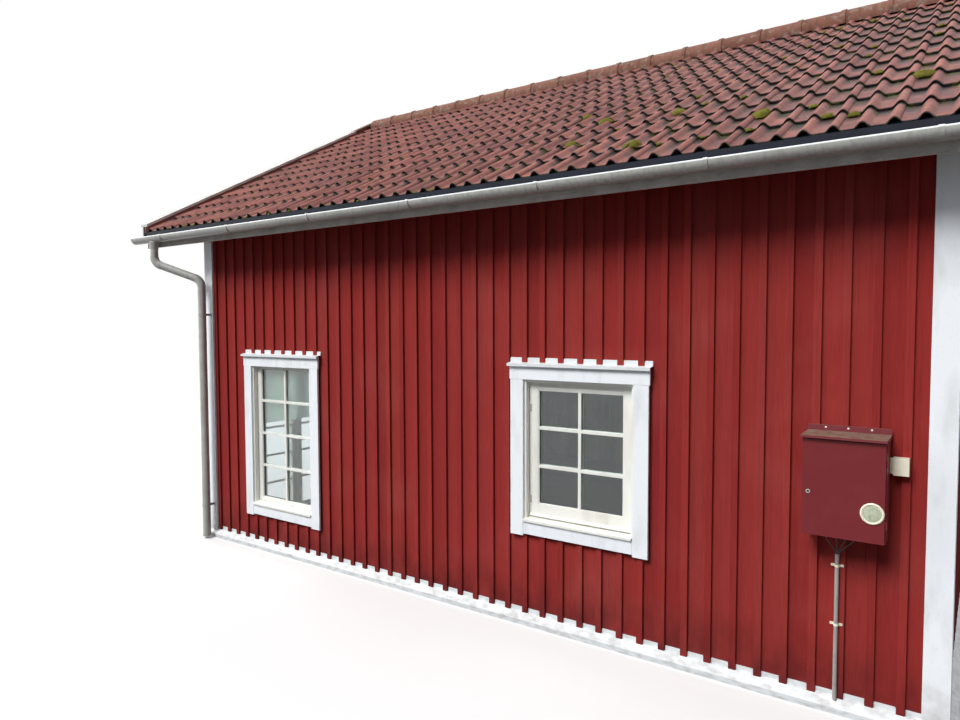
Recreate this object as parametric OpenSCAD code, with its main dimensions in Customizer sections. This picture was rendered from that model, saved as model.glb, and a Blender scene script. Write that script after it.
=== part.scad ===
// Timber boathouse: board-clad walls with white joinery under a tiled gable roof.
// Origin: middle of the wall footprint, at the level the walls stand on.
// +X runs along the front wall, the front wall faces -Y, +Z is up.

/* [Walls] */
// Length of the walls over the corner boards
body_l = 7200; // [6600:100:9000]
// Depth of the walls over the corner boards
body_w = 6760; // [6200:20:7600]
// Wall thickness from the lining to the face of the battens
wall_t = 200; // [180:10:260]
// Thickness of casings and corner boards
trim_t = 22; // [18:1:28]
// Face width of a corner board
corner_w = 142; // [95:1:170]
// Thickness of the floor
floor_t = 40; // [30:1:45]

/* [Roof] */
// Slope of the roof in degrees
roof_pitch = 28; // [24:1:32]
// Height of the tile surface at the eaves
eave_z = 3535; // [3450:5:3800]
// Reach of the tiles beyond the corner boards at the eaves
eave_over = 375; // [350:5:450]
// Reach of the tiles beyond the corner boards at a gable, before rounding to whole tiles
verge_over = 630; // [450:10:750]
// Cover width of one tile
tile_w = 300; // [280:5:330]
// Build-up of tiles, battens and boarding, measured square to the slope
roof_t = 115; // [100:5:140]
// Outer radius of a ridge cap
ridge_r = 120; // [110:5:140]

/* [Rainwater] */
// Outer radius of the half-round gutter
gutter_r = 64; // [55:1:80]
// Outer radius of a downpipe
pipe_r = 43.5; // [36:0.5:50]
// Distance between gutter brackets
bracket_pitch = 1207; // [900:1:1400]

/* [Windows] */
// Width of every window frame
window_w = 980; // [880:10:1080]
// Top edge of the window openings between the casings
opening_top = 1990; // [1940:5:2050]
// Height of the tall window's frame
tall_h = 1580; // [1400:10:1620]
// Height of the low window's frame
low_h = 1180; // [1000:10:1300]
// Face width of a window casing
casing_w = 120; // [95:1:140]
// Distance from the lake end of the front wall to the middle of the tall window
tall_from_end = 1285; // [1150:5:1450]
// Distance from the other end of the front wall to the middle of the low window
low_from_end = 2430; // [2300:5:2600]

/* [Lake doors] */
// Width of the frame of the pair of glazed doors
door_w = 1380; // [1300:10:1480]
// Height of the door frame
door_h = 2010; // [1950:10:2100]
// Distance from the front of the lake-side gable to the middle of the doors
door_from_front = 1236; // [1150:2:1500]

/* [Meter cabinet] */
// Width of the meter cabinet
cabinet_w = 450; // [420:5:520]
// Height of the meter cabinet
cabinet_h = 590; // [520:5:640]
// Reach of the meter cabinet from the wall, with its door
cabinet_d = 210; // [180:5:240]
// Distance from the end of the front wall to the middle of the meter cabinet
cabinet_from_end = 558; // [540:2:800]
// Height of the foot of the meter cabinet
cabinet_z = 1150; // [1000:10:1300]

/* [Hidden] */

wall_red = [0.55, 0.18, 0.16];
trim_white = [0.90, 0.93, 0.95];
sash_white = [0.95, 0.94, 0.91];
glass_grey = [0.55, 0.62, 0.62, 0.45];
gutter_grey = [0.72, 0.71, 0.68];
tile_red = [0.64, 0.40, 0.35];
strip_black = [0.09, 0.10, 0.16];
cabinet_red = [0.46, 0.17, 0.18];
cabinet_grey = [0.55, 0.53, 0.50];
box_cream = [0.86, 0.83, 0.75];
floor_grey = [0.55, 0.50, 0.44];
blind_cream = [0.80, 0.84, 0.80];

// clearance that lets two pieces be cut cleanly through each other
cut = 10;
// faces of the walls
front_face = body_w / 2 - trim_t;
gable_face = body_l / 2 - trim_t;
front_inner = front_face - wall_t;
gable_inner = gable_face - wall_t;

// clearance between a piece and the sloping face that it stops under
seat = 0.2;

// roof: roof_z gives the tile surface, roof_under the underside of the boarding, and
// roof_seat the height at which what stands under the roof is cut off
slope = tan(roof_pitch);
roof_drop = roof_t / cos(roof_pitch);
eave_y = body_w / 2 + eave_over;
tile_count = round((body_l + 2 * verge_over) / tile_w);
roof_x = tile_count * tile_w / 2;
function roof_z(y) = eave_z + (eave_y - abs(y)) * slope;
function roof_under(y) = roof_z(y) - roof_drop;
function roof_seat(y) = roof_under(y) - seat;
tile_t = 45;
fascia_t = 22;
fascia_y = eave_y - 50;
fascia_bottom = eave_z - 215;
barge_t = 22;
barge_depth = 150;
barge_rise = 22;
barge_clear = 8;
plank_t = 28;
plank_in = 80;
plank_out = 45;
ridge_cap_l = 400;
ridge_top = roof_z(0) + 74;
ridge_wall = 16;
ridge_lap = 45;

strip_out = 38;
strip_t = 4;
strip_back = 45;

// rainwater goods
gutter_y = fascia_y + gutter_r + 3;
gutter_z = eave_z - 105;
gutter_t = 3;
gutter_x = roof_x + 134;
lip_r = 7;
bracket_w = 28;
bracket_t = 4;
first_bracket = body_l / 2 - 100;
pipe_wall = 3;
pipe_out = 100;
outlet_out = 357;
outlet_x = body_l / 2 + outlet_out;
pipe_in = 91;
pipe_x = body_l / 2 - pipe_in;
pipe_y = body_w / 2 + pipe_out;
pipe_fall = 20;
bend_r = 110;
bend_top = gutter_z - gutter_r - 230;
pipe_foot = 25;
push_in = 12;
sleeve_t = 2;
collar_h = 45;
clip_h = 25;
clip_z = [367, 2541];

// windows: places along the front, measured from the corners, and member sizes
tall_x = -body_l / 2 + tall_from_end;
low_x = body_l / 2 - low_from_end;
tall_sill = opening_top + 60 - tall_h;
low_sill = opening_top + 20 - low_h;
frame_m = 40;
frame_d = 140;
sash_in = 48;
sash_t = 56;
glass_t = 24;
tall_stile = 57;
low_stile = 76;
tall_rail = 40;
low_top_rail = 56;
low_bottom_rail = 108;
casing_lap = 20;
ear = 8;
side_drop = 16;
sill_drop = 20;
bottom_casing = 105;
tall_opening = tall_sill + 5;
low_opening = low_sill + 15;
flashing_out = 26;
flashing_t = 3;

// hinges: share of a knuckle's radius that its pin takes, and the play round the pin
pin_share = 0.55;
pin_play = 0.05;
hinge_play = 0.3;

// lake doors in the left gable: x is counted from the middle towards the front wall
door_x = body_w / 2 - door_from_front;
jamb = 45;
leaf_t = 56;
hinge_gap = 6;
meeting_gap = 10;
door_knuckle_r = 8;
door_knuckle_h = 45;
door_axis_out = door_knuckle_r + 0.5;
door_hinge_z = [260, 960, 1640];
leaf_w = (door_w - 2 * jamb - 2 * hinge_gap - meeting_gap) / 2;
door_axis_x = door_w / 2 - jamb - hinge_gap / 2;
hinge_leaf = 22;
leaf_bottom = floor_t + hinge_gap;
leaf_top = door_h - jamb - hinge_gap;
leaf_stile = 65;
leaf_top_rail = 109;
leaf_bottom_rail = 74;
stop_w = 18;
handle_z = 950;

// roller blind in the depth of the wall behind the doors
blind_r = 19;
blind_plate_t = 3;
blind_in = 28;
blind_t = 2;
bar_t = 5;
bar_h = 26;
blind_y = gable_inner + blind_r + 11;
blind_z = door_h - blind_r - 8;
blind_foot = 1240;

// base flashing round the foot of the walls
base_out = 55;
base_h = 80;
base_lip = 40;

// meter cabinet
cabinet_x = body_l / 2 - cabinet_from_end;
cabinet_top = cabinet_z + cabinet_h;
cabinet_wall = 6;
cabinet_door_t = 19;
cabinet_gap = 6;
cabinet_box_d = cabinet_d - cabinet_door_t - cabinet_gap;
cabinet_right = cabinet_x + cabinet_w / 2;
cabinet_left = cabinet_x - cabinet_w / 2;
door_edge = 3;
door_foot = 3;
door_head = 4;
knuckle_r = 5;
knuckle_h = 24;
cabinet_axis_x = cabinet_right + knuckle_r;
cabinet_axis_y = front_face + cabinet_d - 10;
cabinet_hinge_z = [cabinet_z + 90, cabinet_top - 140];
window_r = 60;
window_glass_r = 50;
window_x = cabinet_right - 66;
window_z = cabinet_z + 177;
lock_x = cabinet_left + 39;
lock_z = cabinet_z + 266;
hood_side = 20;
hood_out = 24;
hood_rise = 55;
hood_flange = 95;
junction_x = cabinet_right + 59;
junction_w = 82;
junction_h = 104;
junction_d = 50;
junction_rise = 437;
junction_z = cabinet_z + junction_rise;
stub_d = 30;
stub_h = 92;
conduit_r = 12.5;
conduit_x = cabinet_x - 48;
conduit_top = cabinet_z - 150;
conduit_y = front_face + conduit_r + 3;
conduit_clip_z = [546, 917];
cable_r = 3;
cable_gap = 6.4;
cable_x = [-110, -45, 10, 60];

// a profile drawn in (distance out from the middle, height) and run along X from a to b
module along_x(a, b) {
    translate([a, 0, 0])
        rotate([90, 0, 90])
            linear_extrude(b - a)
                children();
}

// puts a front-wall piece on the lake-side gable
module on_left_gable() {
    rotate([0, 0, -90])
        children();
}

// the same piece on the front and the back
module front_and_back() {
    children();
    mirror([0, 1, 0])
        children();
}

// a box from corner p to corner q
module span(p, q) {
    translate(p)
        cube(q - p);
}

module floor_deck() {
    color(floor_grey)
        span([-gable_inner, -front_inner, 0], [gable_inner, front_inner, floor_t]);
}

// long wall with its top cut to the roof slope and an opening for each of its windows:
// a window is given as [middle, foot of its frame, height of its frame]
module long_wall(windows) {
    color(wall_red)
        difference() {
            along_x(-gable_face, gable_face)
                polygon([
                    [-front_face, 0], [-front_inner, 0],
                    [-front_inner, roof_seat(front_inner)], [-front_face, roof_seat(front_face)]
                ]);
            for (w = windows)
                span([w[0] - window_w / 2, -front_face - cut, w[1]],
                     [w[0] + window_w / 2, -front_inner + cut, w[1] + w[2]]);
        }
}

// stretch of gable wall between depths y0 and y1, from height z0 up to the roof
module gable_stretch(side, y0, y1, z0) {
    x0 = side < 0 ? -gable_face : gable_inner;
    peak = y0 < 0 && y1 > 0 ? [[0, roof_seat(0)]] : [];
    color(wall_red)
        along_x(x0, x0 + wall_t)
            polygon(concat(
                [[y0, z0], [y1, z0], [y1, roof_seat(y1)]], peak, [[y0, roof_seat(y0)]]));
}

module left_gable_front_part() {
    gable_stretch(-1, -front_inner, -door_x - door_w / 2, 0);
}

module left_gable_back_part() {
    gable_stretch(-1, -door_x + door_w / 2, front_inner, 0);
}

module left_gable_over_doors() {
    gable_stretch(-1, -door_x - door_w / 2, -door_x + door_w / 2, door_h);
}

module right_gable_wall() {
    gable_stretch(1, -front_inner, front_inner, 0);
}

module corner_board() {
    top = roof_seat(body_w / 2);
    translate([0, 0, base_h])
        linear_extrude(top - base_h)
            difference() {
                translate([body_l / 2 - corner_w, -body_w / 2])
                    square(corner_w);
                translate([body_l / 2 - corner_w - cut, -front_face])
                    square([corner_w + cut - trim_t, corner_w]);
            }
}

module corner_boards() {
    color(trim_white)
        front_and_back() {
            corner_board();
            mirror([1, 0, 0])
                corner_board();
        }
}

// flashing at the foot of a wall: outward slope with an upright lip
module base_profile(face) {
    polygon([
        [-face, 0], [-face, base_h], [-face - base_out, base_lip], [-face - base_out, 0]
    ]);
}

module base_flashing() {
    color(trim_white)
        difference() {
            union() {
                front_and_back()
                    along_x(-gable_face, gable_face)
                        base_profile(front_face);
                for (side = [-90, 90])
                    rotate([0, 0, side])
                        along_x(-front_face, front_face)
                            base_profile(gable_face);
                front_and_back()
                    for (side = [-1, 1])
                        scale([side, 1, 1])
                            translate([gable_face, -front_face, 0])
                                base_corner();
            }
            span([-gable_face - base_out - cut, -door_x - door_w / 2, -cut],
                 [-gable_face + cut, -door_x + door_w / 2, base_h + cut]);
        }
}

// mitred outer corner of the flashing
module base_corner() {
    intersection() {
        translate([-cut, 0, 0])
            along_x(0, base_out + cut)
                base_profile(0);
        rotate([0, 0, 90])
            translate([-base_out, 0, 0])
                along_x(0, base_out + cut)
                    base_profile(0);
    }
}

// frame of one window, its bottom member sloping outwards
module window_frame(window) {
    x = window[0];
    sill = window[1];
    h = window[2];
    color(sash_white)
        difference() {
            span([x - window_w / 2, -front_face, sill],
                 [x + window_w / 2, -front_face + frame_d, sill + h]);
            span([x - window_w / 2 + frame_m, -front_face - cut, sill + frame_m],
                 [x + window_w / 2 - frame_m, -front_face + frame_d + cut, sill + h - frame_m]);
            along_x(x - window_w / 2 + frame_m, x + window_w / 2 - frame_m)
                polygon([
                    [-front_face - cut, sill + sill_drop],
                    [-front_face, sill + sill_drop],
                    [-front_face + sash_in, sill + frame_m],
                    [-front_face - cut, sill + frame_m]
                ]);
        }
}

// sash of one window: stile, top rail and bottom rail are its face widths
module window_sash(window, stile, top_rail, bottom_rail) {
    x = window[0];
    sill = window[1];
    h = window[2];
    inner_w = window_w / 2 - frame_m;
    color(sash_white)
        difference() {
            span([x - inner_w, -front_face + sash_in, sill + frame_m],
                 [x + inner_w, -front_face + sash_in + sash_t, sill + h - frame_m]);
            span([x - inner_w + stile, -front_face, sill + frame_m + bottom_rail],
                 [x + inner_w - stile, -front_face + frame_d, sill + h - frame_m - top_rail]);
        }
}

module window_glass(window, stile, top_rail, bottom_rail) {
    x = window[0];
    sill = window[1];
    h = window[2];
    inner_w = window_w / 2 - frame_m;
    middle = -front_face + sash_in + sash_t / 2;
    color(glass_grey)
        span([x - inner_w + stile, middle - glass_t / 2, sill + frame_m + bottom_rail],
             [x + inner_w - stile, middle + glass_t / 2, sill + h - frame_m - top_rail]);
}

// casing boards round one opening: head with ears, sides that run past the bottom board
module window_casing(x, half, opening_foot, opening_head) {
    color(trim_white) {
        span([x - half - casing_w - ear, -body_w / 2, opening_head],
             [x + half + casing_w + ear, -front_face, opening_head + casing_w]);
        for (side = [-1, 1])
            span([x + side * (half + casing_w / 2) - casing_w / 2, -body_w / 2,
                  opening_foot - bottom_casing - side_drop],
                 [x + side * (half + casing_w / 2) + casing_w / 2, -front_face, opening_head]);
        span([x - half, -body_w / 2, opening_foot - bottom_casing],
             [x + half, -front_face, opening_foot]);
    }
}

// metal flashing over a head casing, with an upstand and a front lip
module head_flashing(x, half, top, face) {
    reach = half + casing_w + ear + 10;
    out = face + trim_t + flashing_out;
    color(trim_white)
        along_x(x - reach, x + reach)
            polygon([
                [-face, top], [-face, top + 32],
                [-face - flashing_t, top + 32], [-face - flashing_t, top + 20],
                [-out, top + 9], [-out, top - 12],
                [-out + flashing_t, top - 12], [-out + flashing_t, top]
            ]);
}

opening_half = window_w / 2 - casing_lap;
tall_window = [tall_x, tall_sill, tall_h];
low_window = [low_x, low_sill, low_h];

module low_sash() {
    window_sash(low_window, low_stile, low_top_rail, low_bottom_rail);
}

module low_glass() {
    window_glass(low_window, low_stile, low_top_rail, low_bottom_rail);
}

module low_casing() {
    window_casing(low_x, opening_half, low_opening, opening_top);
}

module low_head_flashing() {
    head_flashing(low_x, opening_half, opening_top + casing_w, front_face);
}

module front_window_frames() {
    window_frame(tall_window);
    window_frame(low_window);
}

module front_window_sashes() {
    window_sash(tall_window, tall_stile, tall_rail, tall_rail);
    low_sash();
}

module front_window_glass() {
    window_glass(tall_window, tall_stile, tall_rail, tall_rail);
    low_glass();
}

module front_window_casings() {
    window_casing(tall_x, opening_half, tall_opening, opening_top);
    low_casing();
}

module front_head_flashings() {
    head_flashing(tall_x, opening_half, opening_top + casing_w, front_face);
    low_head_flashing();
}

// fixed half of a hinge: a knuckle with a pin that stands up from it
module hinge_post(r, h) {
    cylinder(h = h, r = r, $fn = 32);
    cylinder(h = 2 * h + hinge_play, r = r * pin_share, $fn = 32);
}

// moving half of a hinge: a knuckle that turns on the pin
module hinge_eye(r, h) {
    translate([0, 0, h + hinge_play])
        difference() {
            cylinder(h = h, r = r, $fn = 32);
            translate([0, 0, -cut])
                cylinder(h = h + 2 * cut, r = r * pin_share + pin_play, $fn = 32);
        }
}

// frame of the lake doors with a stop behind the leaves, a threshold and hinge posts
module lake_door_frame() {
    color(sash_white)
        on_left_gable() {
            for (side = [-1, 1])
                for (z = door_hinge_z)
                    translate([door_x + side * door_axis_x, -gable_face - door_axis_out, z])
                        mirror([side > 0 ? 0 : 1, 0, 0]) {
                            hinge_post(door_knuckle_r, door_knuckle_h);
                            span([0, door_axis_out - 3, 0],
                                 [hinge_leaf, door_axis_out, door_knuckle_h]);
                        }
            difference() {
                span([door_x - door_w / 2, -gable_face, 0],
                     [door_x + door_w / 2, -gable_face + frame_d, door_h]);
                span([door_x - door_w / 2 + jamb, -gable_face - cut, floor_t],
                     [door_x + door_w / 2 - jamb, -gable_face + leaf_t + hinge_gap,
                      door_h - jamb]);
                span([door_x - door_w / 2 + jamb + stop_w, -gable_face, floor_t],
                     [door_x + door_w / 2 - jamb - stop_w, -gable_face + frame_d + cut,
                      door_h - jamb - stop_w]);
            }
        }
}

module lake_door_casing() {
    half = door_w / 2 - casing_lap;
    head = door_h - casing_lap;
    color(trim_white)
        on_left_gable() {
            span([door_x - half - casing_w - ear, -body_l / 2, head],
                 [door_x + half + casing_w + ear, -gable_face, head + casing_w]);
            for (side = [-1, 1])
                span([door_x + side * (half + casing_w / 2) - casing_w / 2, -body_l / 2, base_h],
                     [door_x + side * (half + casing_w / 2) + casing_w / 2, -gable_face, head]);
            head_flashing(door_x, half, head + casing_w, gable_face);
        }
}

// one door leaf from x0 on, hung on the side of the doorway that side names
module door_leaf(x0, side) {
    color(sash_white)
        on_left_gable()
            difference() {
                union() {
                    span([x0, -gable_face, leaf_bottom],
                         [x0 + leaf_w, -gable_face + leaf_t, leaf_top]);
                    for (z = door_hinge_z)
                        translate([door_x + side * door_axis_x, -gable_face - door_axis_out, z])
                            mirror([side > 0 ? 0 : 1, 0, 0]) {
                                hinge_eye(door_knuckle_r, door_knuckle_h);
                                span([-hinge_leaf, door_axis_out - 3, door_knuckle_h + hinge_play],
                                     [0, door_axis_out, 2 * door_knuckle_h + hinge_play]);
                            }
                }
                span([x0 + leaf_stile, -gable_face - cut, leaf_bottom + leaf_bottom_rail],
                     [x0 + leaf_w - leaf_stile, -gable_face + frame_d, leaf_top - leaf_top_rail]);
            }
}

module door_glass(x0) {
    middle = -gable_face + leaf_t / 2;
    color(glass_grey)
        on_left_gable()
            span([x0 + leaf_stile, middle - glass_t / 2, leaf_bottom + leaf_bottom_rail],
                 [x0 + leaf_w - leaf_stile, middle + glass_t / 2, leaf_top - leaf_top_rail]);
}

right_leaf_x = door_x + meeting_gap / 2;
left_leaf_x = door_x - meeting_gap / 2 - leaf_w;

module lake_door_right_leaf() {
    door_leaf(right_leaf_x, 1);
}

module lake_door_left_leaf() {
    door_leaf(left_leaf_x, -1);
}

module lake_door_right_glass() {
    door_glass(right_leaf_x);
}

module lake_door_left_glass() {
    door_glass(left_leaf_x);
}

// lever and plate on one face of the left leaf, pointing away from the meeting edge
module lever_set() {
    plate_w = 36;
    plate_h = 210;
    plate_t = 8;
    neck = 45;
    lever_l = 115;
    lever_r = 9;
    span([-plate_w / 2, -plate_t, -plate_h * 0.6], [plate_w / 2, 0, plate_h * 0.4]);
    rotate([90, 0, 0])
        cylinder(h = neck, r = lever_r, $fn = 32);
    translate([0, -neck, 0])
        sphere(lever_r, $fn = 32);
    translate([0, -neck, 0])
        rotate([0, -90, 0])
            cylinder(h = lever_l, r = lever_r, $fn = 32);
}

module lake_door_handle() {
    color(cabinet_grey)
        on_left_gable()
            translate([left_leaf_x + leaf_w - leaf_stile / 2, 0, handle_z]) {
                translate([0, -gable_face, 0])
                    lever_set();
                translate([0, -gable_face + leaf_t, 0])
                    mirror([0, 1, 0])
                        lever_set();
            }
}

// tube of the roller blind, carried by a plate at each side of the doorway
module door_blind_roller() {
    reach = door_w / 2;
    color(sash_white)
        on_left_gable()
            translate([door_x, -blind_y, blind_z]) {
                rotate([0, 90, 0])
                    translate([0, 0, -reach + blind_plate_t])
                        cylinder(h = door_w - 2 * blind_plate_t, r = blind_r, $fn = 48);
                for (x = [-reach, reach - blind_plate_t])
                    span([x, -blind_r, -blind_r], [x + blind_plate_t, blind_r, blind_r]);
            }
}

// cloth of the roller blind, drawn halfway down, with the bar in its foot
module door_blind() {
    reach = door_w / 2 - blind_in;
    hang = blind_y + blind_r + seat;
    color(blind_cream)
        on_left_gable() {
            span([door_x - reach, -hang - blind_t, blind_foot], [door_x + reach, -hang, blind_z]);
            span([door_x - reach, -hang - blind_t - bar_t, blind_foot],
                 [door_x + reach, -hang - blind_t, blind_foot + bar_h]);
        }
}

// roof slope over the front: boarding and battens stop at the fascia, the tiles run on
module roof_slope() {
    color(tile_red)
        along_x(-roof_x, roof_x)
            polygon([
                [-eave_y, eave_z], [0, roof_z(0)], [0, roof_under(0)],
                [-fascia_y, roof_under(fascia_y)],
                [-fascia_y, roof_z(fascia_y) - tile_t], [-eave_y, eave_z - tile_t]
            ]);
}

// one ridge cap: a rounded cover that sits on both slopes, thicker at its lap
module ridge_cap(r, l) {
    along_x(0, l)
        difference() {
            translate([0, ridge_top - ridge_r])
                union() {
                    circle(r, $fn = 64);
                    translate([-r, -40])
                        square([2 * r, 40]);
                }
            polygon([
                [-2 * ridge_r, roof_z(2 * ridge_r)], [0, roof_z(0)],
                [2 * ridge_r, roof_z(2 * ridge_r)], [2 * ridge_r, 0], [-2 * ridge_r, 0]
            ]);
        }
}

module ridge_caps() {
    run = 2 * (roof_x - plank_in - seat);
    caps = round(run / ridge_cap_l);
    cap_l = run / caps;
    color(tile_red)
        for (i = [0 : caps - 1])
            translate([-run / 2 + i * cap_l, 0, 0]) {
                ridge_cap(ridge_r, cap_l);
                ridge_cap(ridge_r + 10, ridge_lap);
            }
}

// pair of barge boards at the right verge, cut plumb at the eaves and level over the gutter
module barge_pair() {
    rise = barge_rise / cos(roof_pitch);
    depth = barge_depth / cos(roof_pitch);
    foot = gutter_z + barge_clear;
    foot_y = eave_y - (foot - eave_z - rise + depth) / slope;
    along_x(roof_x, roof_x + barge_t)
        polygon([
            [-eave_y, eave_z + rise - seat], [0, roof_z(0) + rise - seat],
            [eave_y, eave_z + rise - seat], [eave_y, foot], [foot_y, foot],
            [0, roof_z(0) + rise - depth], [-foot_y, foot], [-eave_y, foot]
        ]);
}

module barge_boards() {
    color(trim_white)
        for (side = [0, 1])
            mirror([side, 0, 0])
                barge_pair();
}

// planks that lie on the barge boards and cover the edge of the tiles
module plank_pair() {
    rise = barge_rise / cos(roof_pitch);
    t = plank_t / cos(roof_pitch);
    along_x(roof_x - plank_in, roof_x + plank_out)
        polygon([
            [-eave_y, eave_z + rise], [0, roof_z(0) + rise], [eave_y, eave_z + rise],
            [eave_y, eave_z + rise + t], [0, roof_z(0) + rise + t], [-eave_y, eave_z + rise + t]
        ]);
}

module verge_planks() {
    color(gutter_grey)
        for (side = [0, 1])
            mirror([side, 0, 0])
                plank_pair();
}

module fascias() {
    color(gutter_grey)
        front_and_back()
            along_x(-roof_x, roof_x)
                polygon([
                    [-fascia_y, fascia_bottom], [-fascia_y, roof_seat(fascia_y)],
                    [-fascia_y + fascia_t, roof_seat(fascia_y - fascia_t)],
                    [-fascia_y + fascia_t, fascia_bottom]
                ]);
}

// black metal strip from under the tile noses down into the gutter
module eave_strips() {
    top = roof_z(fascia_y) - tile_t - seat;
    nose = top - strip_out * slope;
    foot = gutter_z + strip_t;
    color(strip_black)
        front_and_back()
            along_x(-roof_x, roof_x)
                polygon([
                    [-fascia_y, top - strip_back], [-fascia_y, top],
                    [-fascia_y - strip_out, nose], [-fascia_y - strip_out, foot],
                    [-fascia_y - strip_out + strip_t, foot],
                    [-fascia_y - strip_out + strip_t, nose - strip_t]
                ]);
}

// half-round trough with a beaded front lip, end caps and an outlet hole
module gutter() {
    color(gutter_grey)
        difference() {
            union() {
                along_x(-gutter_x, gutter_x)
                    translate([-gutter_y, gutter_z]) {
                        difference() {
                            circle(gutter_r, $fn = 64);
                            circle(gutter_r - gutter_t, $fn = 64);
                            translate([-gutter_r - cut, 0])
                                square([2 * gutter_r + 2 * cut, gutter_r + cut]);
                        }
                        translate([-gutter_r + lip_r, 0])
                            circle(lip_r, $fn = 24);
                    }
                for (x = [-gutter_x, gutter_x - gutter_t])
                    along_x(x, x + gutter_t)
                        translate([-gutter_y, gutter_z])
                            difference() {
                                circle(gutter_r, $fn = 64);
                                translate([-gutter_r - cut, 0])
                                    square([2 * gutter_r + 2 * cut, gutter_r + cut]);
                            }
            }
            translate([-outlet_x, -gutter_y, gutter_z - gutter_r - cut])
                cylinder(h = gutter_r + cut, r = pipe_r - pipe_wall, $fn = 48);
        }
}

module front_gutter() {
    gutter();
}

module back_gutter() {
    mirror([0, 1, 0])
        gutter();
}

// bracket straps: a band under the trough and a tail to the fascia
module gutter_brackets() {
    count = floor((2 * first_bracket + 500) / bracket_pitch);
    color(gutter_grey)
        front_and_back()
            for (i = [0 : count])
                translate([first_bracket - i * bracket_pitch, 0, 0])
                    along_x(-bracket_w / 2, bracket_w / 2)
                        translate([-gutter_y, gutter_z]) {
                            difference() {
                                circle(gutter_r + bracket_t, $fn = 64);
                                circle(gutter_r, $fn = 64);
                                translate([-gutter_r - cut, 0])
                                    square([2 * gutter_r + 2 * cut, gutter_r + cut]);
                                translate([gutter_y - fascia_y, -gutter_r - cut])
                                    square([cut, gutter_r + cut]);
                            }
                        }
}

// downpipe run: upright, bend, fall towards the wall, bend, upright; each bend is a
// sleeve that stands sleeve wider than the straight pipes pushed into it
module pipe_run(r, sleeve, top, foot) {
    run_x = outlet_x - pipe_x;
    run_y = gutter_y - pipe_y;
    run = sqrt(run_x * run_x + run_y * run_y);
    drop = run * tan(pipe_fall);
    turn = 90 - pipe_fall;
    tangent = bend_r * tan(turn / 2);
    straight = run / cos(pipe_fall) - 2 * tangent + 2 * push_in;
    translate([-outlet_x, -gutter_y, bend_top])
        rotate([0, 0, atan2(run_y, run_x)]) {
            translate([0, 0, tangent - push_in])
                cylinder(h = top - bend_top - tangent + push_in, r = r, $fn = 48);
            translate([bend_r, 0, tangent])
                rotate([90, 0, 0])
                    rotate([0, 0, 180])
                        pipe_bend(r + sleeve, turn);
            translate([tangent * cos(pipe_fall), 0, -tangent * sin(pipe_fall)])
                rotate([0, 90 + pipe_fall, 0])
                    translate([0, 0, -push_in])
                        cylinder(h = straight, r = r, $fn = 48);
            translate([run - bend_r, 0, -drop - tangent])
                rotate([90, 0, 0])
                    pipe_bend(r + sleeve, turn);
            translate([run, 0, foot - bend_top])
                cylinder(h = bend_top - drop - tangent - foot + push_in, r = r, $fn = 48);
        }
}

module pipe_bend(r, turn) {
    rotate_extrude(angle = turn, $fn = 96)
        translate([bend_r, 0])
            circle(r, $fn = 48);
}

module downpipe() {
    gutter_foot = gutter_z - gutter_r;
    color(gutter_grey)
        difference() {
            union() {
                pipe_run(pipe_r, sleeve_t, gutter_foot, pipe_foot);
                translate([-outlet_x, -gutter_y, gutter_foot - 70])
                    cylinder(h = 70, r1 = pipe_r + 2, r2 = pipe_r + 14, $fn = 48);
                translate([-pipe_x, -pipe_y, pipe_foot])
                    cylinder(h = collar_h, r = pipe_r + pipe_wall, $fn = 48);
            }
            pipe_run(pipe_r - pipe_wall, 1, gutter_foot + cut, pipe_foot - cut);
        }
}

module front_downpipe() {
    downpipe();
}

module back_downpipe() {
    mirror([0, 1, 0])
        downpipe();
}

// two clips hold each downpipe off its corner board
module pipe_clips() {
    color(gutter_grey)
        front_and_back()
            for (z = clip_z)
                translate([-pipe_x, -pipe_y, z])
                    difference() {
                        union() {
                            cylinder(h = clip_h, r = pipe_r + pipe_wall, $fn = 48);
                            translate([-10, 0, 0])
                                cube([20, pipe_out, clip_h]);
                        }
                        translate([0, 0, -cut])
                            cylinder(h = clip_h + 2 * cut, r = pipe_r, $fn = 48);
                    }
}

// open-fronted cabinet with the fixed halves of its two hinges
module meter_cabinet() {
    back = -front_face;
    front = -front_face - cabinet_box_d;
    color(cabinet_red) {
        difference() {
            span([cabinet_left, front, cabinet_z], [cabinet_right, back, cabinet_top]);
            span([cabinet_left + cabinet_wall, front - cut, cabinet_z + cabinet_wall],
                 [cabinet_right - cabinet_wall, back - cabinet_wall, cabinet_top - cabinet_wall]);
        }
        for (z = cabinet_hinge_z) {
            span([cabinet_right, -cabinet_axis_y, z],
                 [cabinet_right + 3, front + 40, z + knuckle_h]);
            translate([cabinet_axis_x, -cabinet_axis_y, z])
                hinge_post(knuckle_r, knuckle_h);
        }
    }
}

// sloping rain hood with a flange up the wall
module cabinet_hood() {
    top = cabinet_top;
    out = front_face + cabinet_d + hood_out;
    body_front = front_face + cabinet_box_d;
    color(cabinet_grey)
        along_x(cabinet_left - hood_side, cabinet_right + hood_side)
            polygon([
                [-front_face, top], [-front_face, top + hood_flange],
                [-front_face - 3, top + hood_flange], [-front_face - 3, top + hood_rise],
                [-out, top + 20], [-out, top + 4], [-out + 3, top + 4], [-out + 3, top + 16],
                [-body_front, top + 23], [-body_front, top]
            ]);
}

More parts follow.
